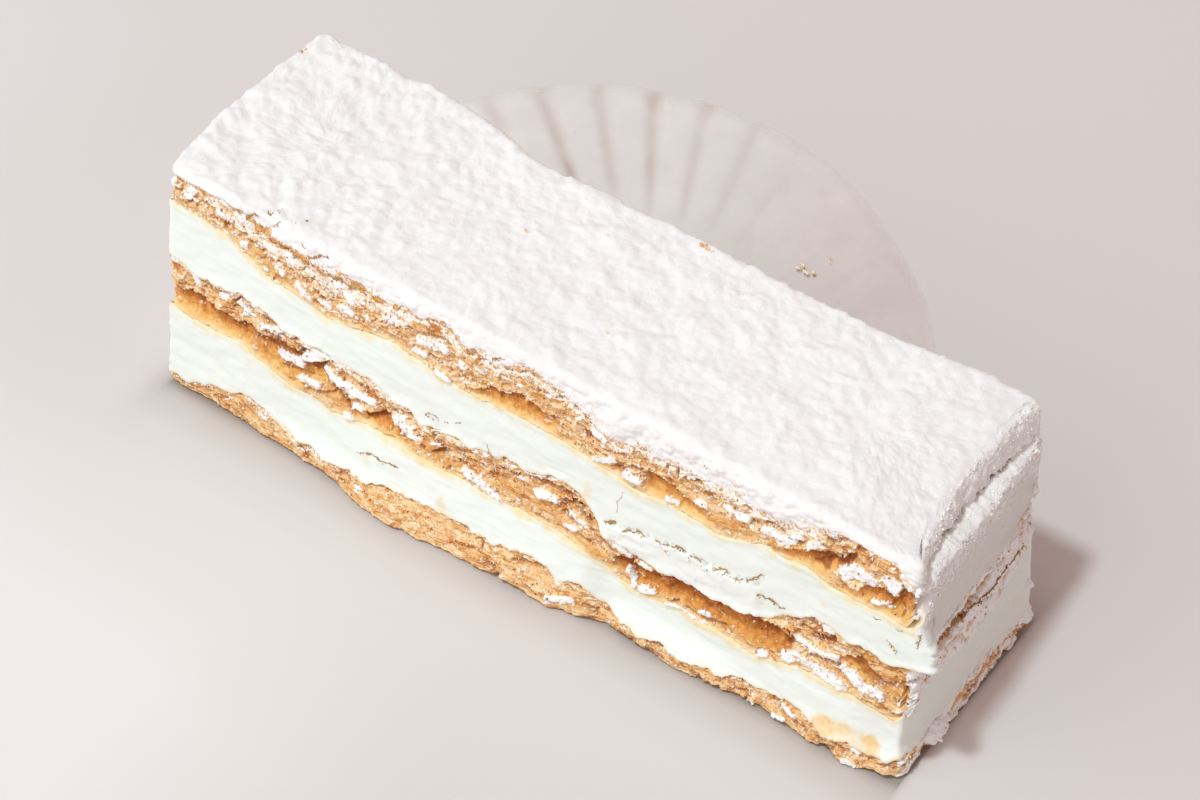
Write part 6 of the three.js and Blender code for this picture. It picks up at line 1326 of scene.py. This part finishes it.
def paper_material(name):
    mat, nt, bsdf = nodes_of(name)
    co = object_coord(nt)
    n1 = noise(nt, co, 60, 4, 0.6)
    n2 = noise(nt, co, 1500, 3, 0.6)
    n3 = noise(nt, co, 22, 3, 0.6)
    base = ramp(nt, n1, [(0.3, lin(229, 221, 217)), (0.7, lin(239, 233, 230))])
    # painted shade: from x = -28 mm rightward the paper is painted darker and pinker, as the floor darkens toward the
    # right
    pink = ramp(nt, n1, [(0.3, lin(215, 201, 198)), (0.7, lin(225, 211, 208))])
    place_x = nt.nodes.new("ShaderNodeSeparateXYZ")
    nt.links.new(co, place_x.inputs[0])
    pale = mix(nt, maths(nt, "MULTIPLY", maths(nt, "ADD", place_x.outputs["X"], 0.028), 26.0, True), base, pink)
    pale = mix(nt, maths(nt, "MULTIPLY", maths(nt, "SUBTRACT", n3, 0.56), 3.0, True), pale, lin(232, 227, 223))
    # painted shade: the pleat grooves are painted darker, and less see-through
    pleat_shaded = mix(nt, maths(nt, "MULTIPLY", attr(nt, "groove"), 0.85, True), pale, lin(203, 182, 175))
    nt.links.new(pleat_shaded, bsdf.inputs["Base Color"])
    rough = maths(nt, "ADD", maths(nt, "MULTIPLY", n1, 0.25), 0.45)
    nt.links.new(rough, bsdf.inputs["Roughness"])
    alpha = maths(nt, "ADD", maths(nt, "MULTIPLY", attr(nt, "groove"), 0.22), maths(nt, "MULTIPLY", n3, 0.9), True)
    alpha = maths(nt, "MULTIPLY", alpha, maths(nt, "SUBTRACT", 1.0, maths(nt, "MULTIPLY", attr(nt, "edge"), 1.0)), True)
    nt.links.new(alpha, bsdf.inputs["Alpha"])
    bsdf.inputs["Specular IOR Level"].default_value = 0.15
    bump(nt, bsdf, n2, 0.12, 0.0001)
    return mat


mats = {
    "pastry": pastry_material("puff_pastry"),
    "cream": cream_material("pastry_cream"),
    "sugar": sugar_material("icing_sugar"),
    "paper": paper_material("glassine_paper"),
}
SLOT = dict(pastry_bottom="pastry", pastry_middle="pastry", pastry_top="pastry", cream_lower="cream", cream_upper="cream", icing_sugar="sugar", paper_case="paper")
for node, ob in pieces.items():
    ob.data.materials.append(mats[SLOT[node]])
    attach(ob, "root")
    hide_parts(node)
pieces["paper_case"].visible_shadow = False  # a thin sheet that light goes through
for ob, slot in ((flakes, "pastry"), (bits, "pastry"), (crumb, "pastry"), (clumps, "sugar"), (sugar_grains, "sugar")):
    ob.data.materials.append(mats[slot])
    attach(ob, "root")

# ----------------------------------------------------------- floor and lights
bpy.ops.mesh.primitive_plane_add(size=4, location=(0, 0, -0.0002))
floor = bpy.context.object
floor.name = "floor"
fmat, nt, bsdf = nodes_of("pale_floor")
co = object_coord(nt)
sep = nt.nodes.new("ShaderNodeSeparateXYZ")
nt.links.new(co, sep.inputs[0])
# painted light: the floor is painted brighter toward the front left and darker toward the back right, and brighter
# still in front of the slice's left half, where more light falls
t = maths(nt, "ADD", maths(nt, "MULTIPLY", sep.outputs["Y"], -2.2), maths(nt, "MULTIPLY", sep.outputs["X"], -2.2))
t = maths(nt, "ADD", t, 0.42)
t = maths(nt, "ADD", t, maths(nt, "MULTIPLY", maths(nt, "SUBTRACT", noise(nt, co, 7, 2, 0.5), 0.5), 0.25), True)
pale = ramp(nt, t, [(0.0, lin(217, 208, 206)), (0.45, lin(221, 215, 213)), (0.62, lin(224, 218, 216)), (1.0, lin(242, 240, 240))])
near = maths(nt, "MULTIPLY", maths(nt, "SUBTRACT", maths(nt, "MULTIPLY", sep.outputs["Y"], -1.0), 0.028), 26.0, True)
left = maths(nt, "MULTIPLY", maths(nt, "SUBTRACT", 0.012, sep.outputs["X"]), 24.0, True)
pale = mix(nt, maths(nt, "MULTIPLY", maths(nt, "MULTIPLY", near, left), 0.8), pale, lin(243, 241, 240))
# painted contact shadow: the floor's colour darkens softly toward the slice's foot, hardly at all along the right end
parts = []
for axis, sign, edge, grow in (("Y", -1, 0.0183, 1.0), ("X", -1, 0.0643, 2.2), ("Y", 1, 0.0174, 1.0), ("X", 1, 0.0655, 10.0)):
    q = maths(nt, "MAXIMUM", maths(nt, "SUBTRACT", maths(nt, "MULTIPLY", sep.outputs[axis], sign), edge), 0.0)
    parts.append(maths(nt, "POWER", maths(nt, "MULTIPLY", q, grow), 2.0))
far = maths(nt, "SQRT", maths(nt, "ADD", maths(nt, "ADD", parts[0], parts[1]), maths(nt, "ADD", parts[2], parts[3])))
far = maths(nt, "DIVIDE", far, 0.015, True)
lit = ramp(nt, far, [(q / 15, (v, v, v)) for q, v in ((0, 0.0), (1.4, 0.44), (2.8, 0.64), (4.2, 0.70), (5.5, 0.76), (7, 0.84), (8.3, 0.91), (11, 0.955), (15, 1.0))])
nt.links.new(mix(nt, lit, (0.36, 0.315, 0.285), pale), bsdf.inputs["Base Color"])
bsdf.inputs["Roughness"].default_value = 0.6
bsdf.inputs["Specular IOR Level"].default_value = 0.2
floor.data.materials.append(fmat)
floor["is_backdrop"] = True

world = bpy.data.worlds.new("studio")
world.use_nodes = True
world.node_tree.nodes["Background"].inputs["Color"].default_value = (0.50, 0.40, 0.385, 1)
world.node_tree.nodes["Background"].inputs["Strength"].default_value = 1.0
bpy.context.scene.world = world


def sun(name, direction, strength, colour, angle):
    data = bpy.data.lights.new(name, "SUN")
    data.energy = strength
    data.angle = math.radians(angle)
    data.color = colour
    ob = bpy.data.objects.new(name, data)
    bpy.context.scene.collection.objects.link(ob)
    ob.rotation_euler = Vector(direction).to_track_quat("Z", "Y").to_euler()


sun("key", (-0.11, -0.36, 0.93), 1.5, (0.80, 0.97, 1.0), 5)
sun("soft", (-0.35, -0.80, 0.48), 0.95, (0.96, 1.0, 1.0), 60)

sc = bpy.context.scene
sc.view_settings.view_transform = "Standard"
sc.view_settings.look = "None"
sc.view_settings.exposure = 0.0
sc.view_settings.gamma = 1.0
sc.cycles.use_denoising = True
sc.cycles.max_bounces = 8
sc.cycles.diffuse_bounces = 5

total = 0
for ob in bpy.context.scene.objects:
    if ob.type == "MESH" and not ob.hide_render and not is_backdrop(ob):
        counts = np.empty(len(ob.data.polygons), np.int32)
        ob.data.polygons.foreach_get("loop_total", counts)
        total += int((counts - 2).sum())
        print("triangles", ob.name, int((counts - 2).sum()))
print("triangles in all", total)
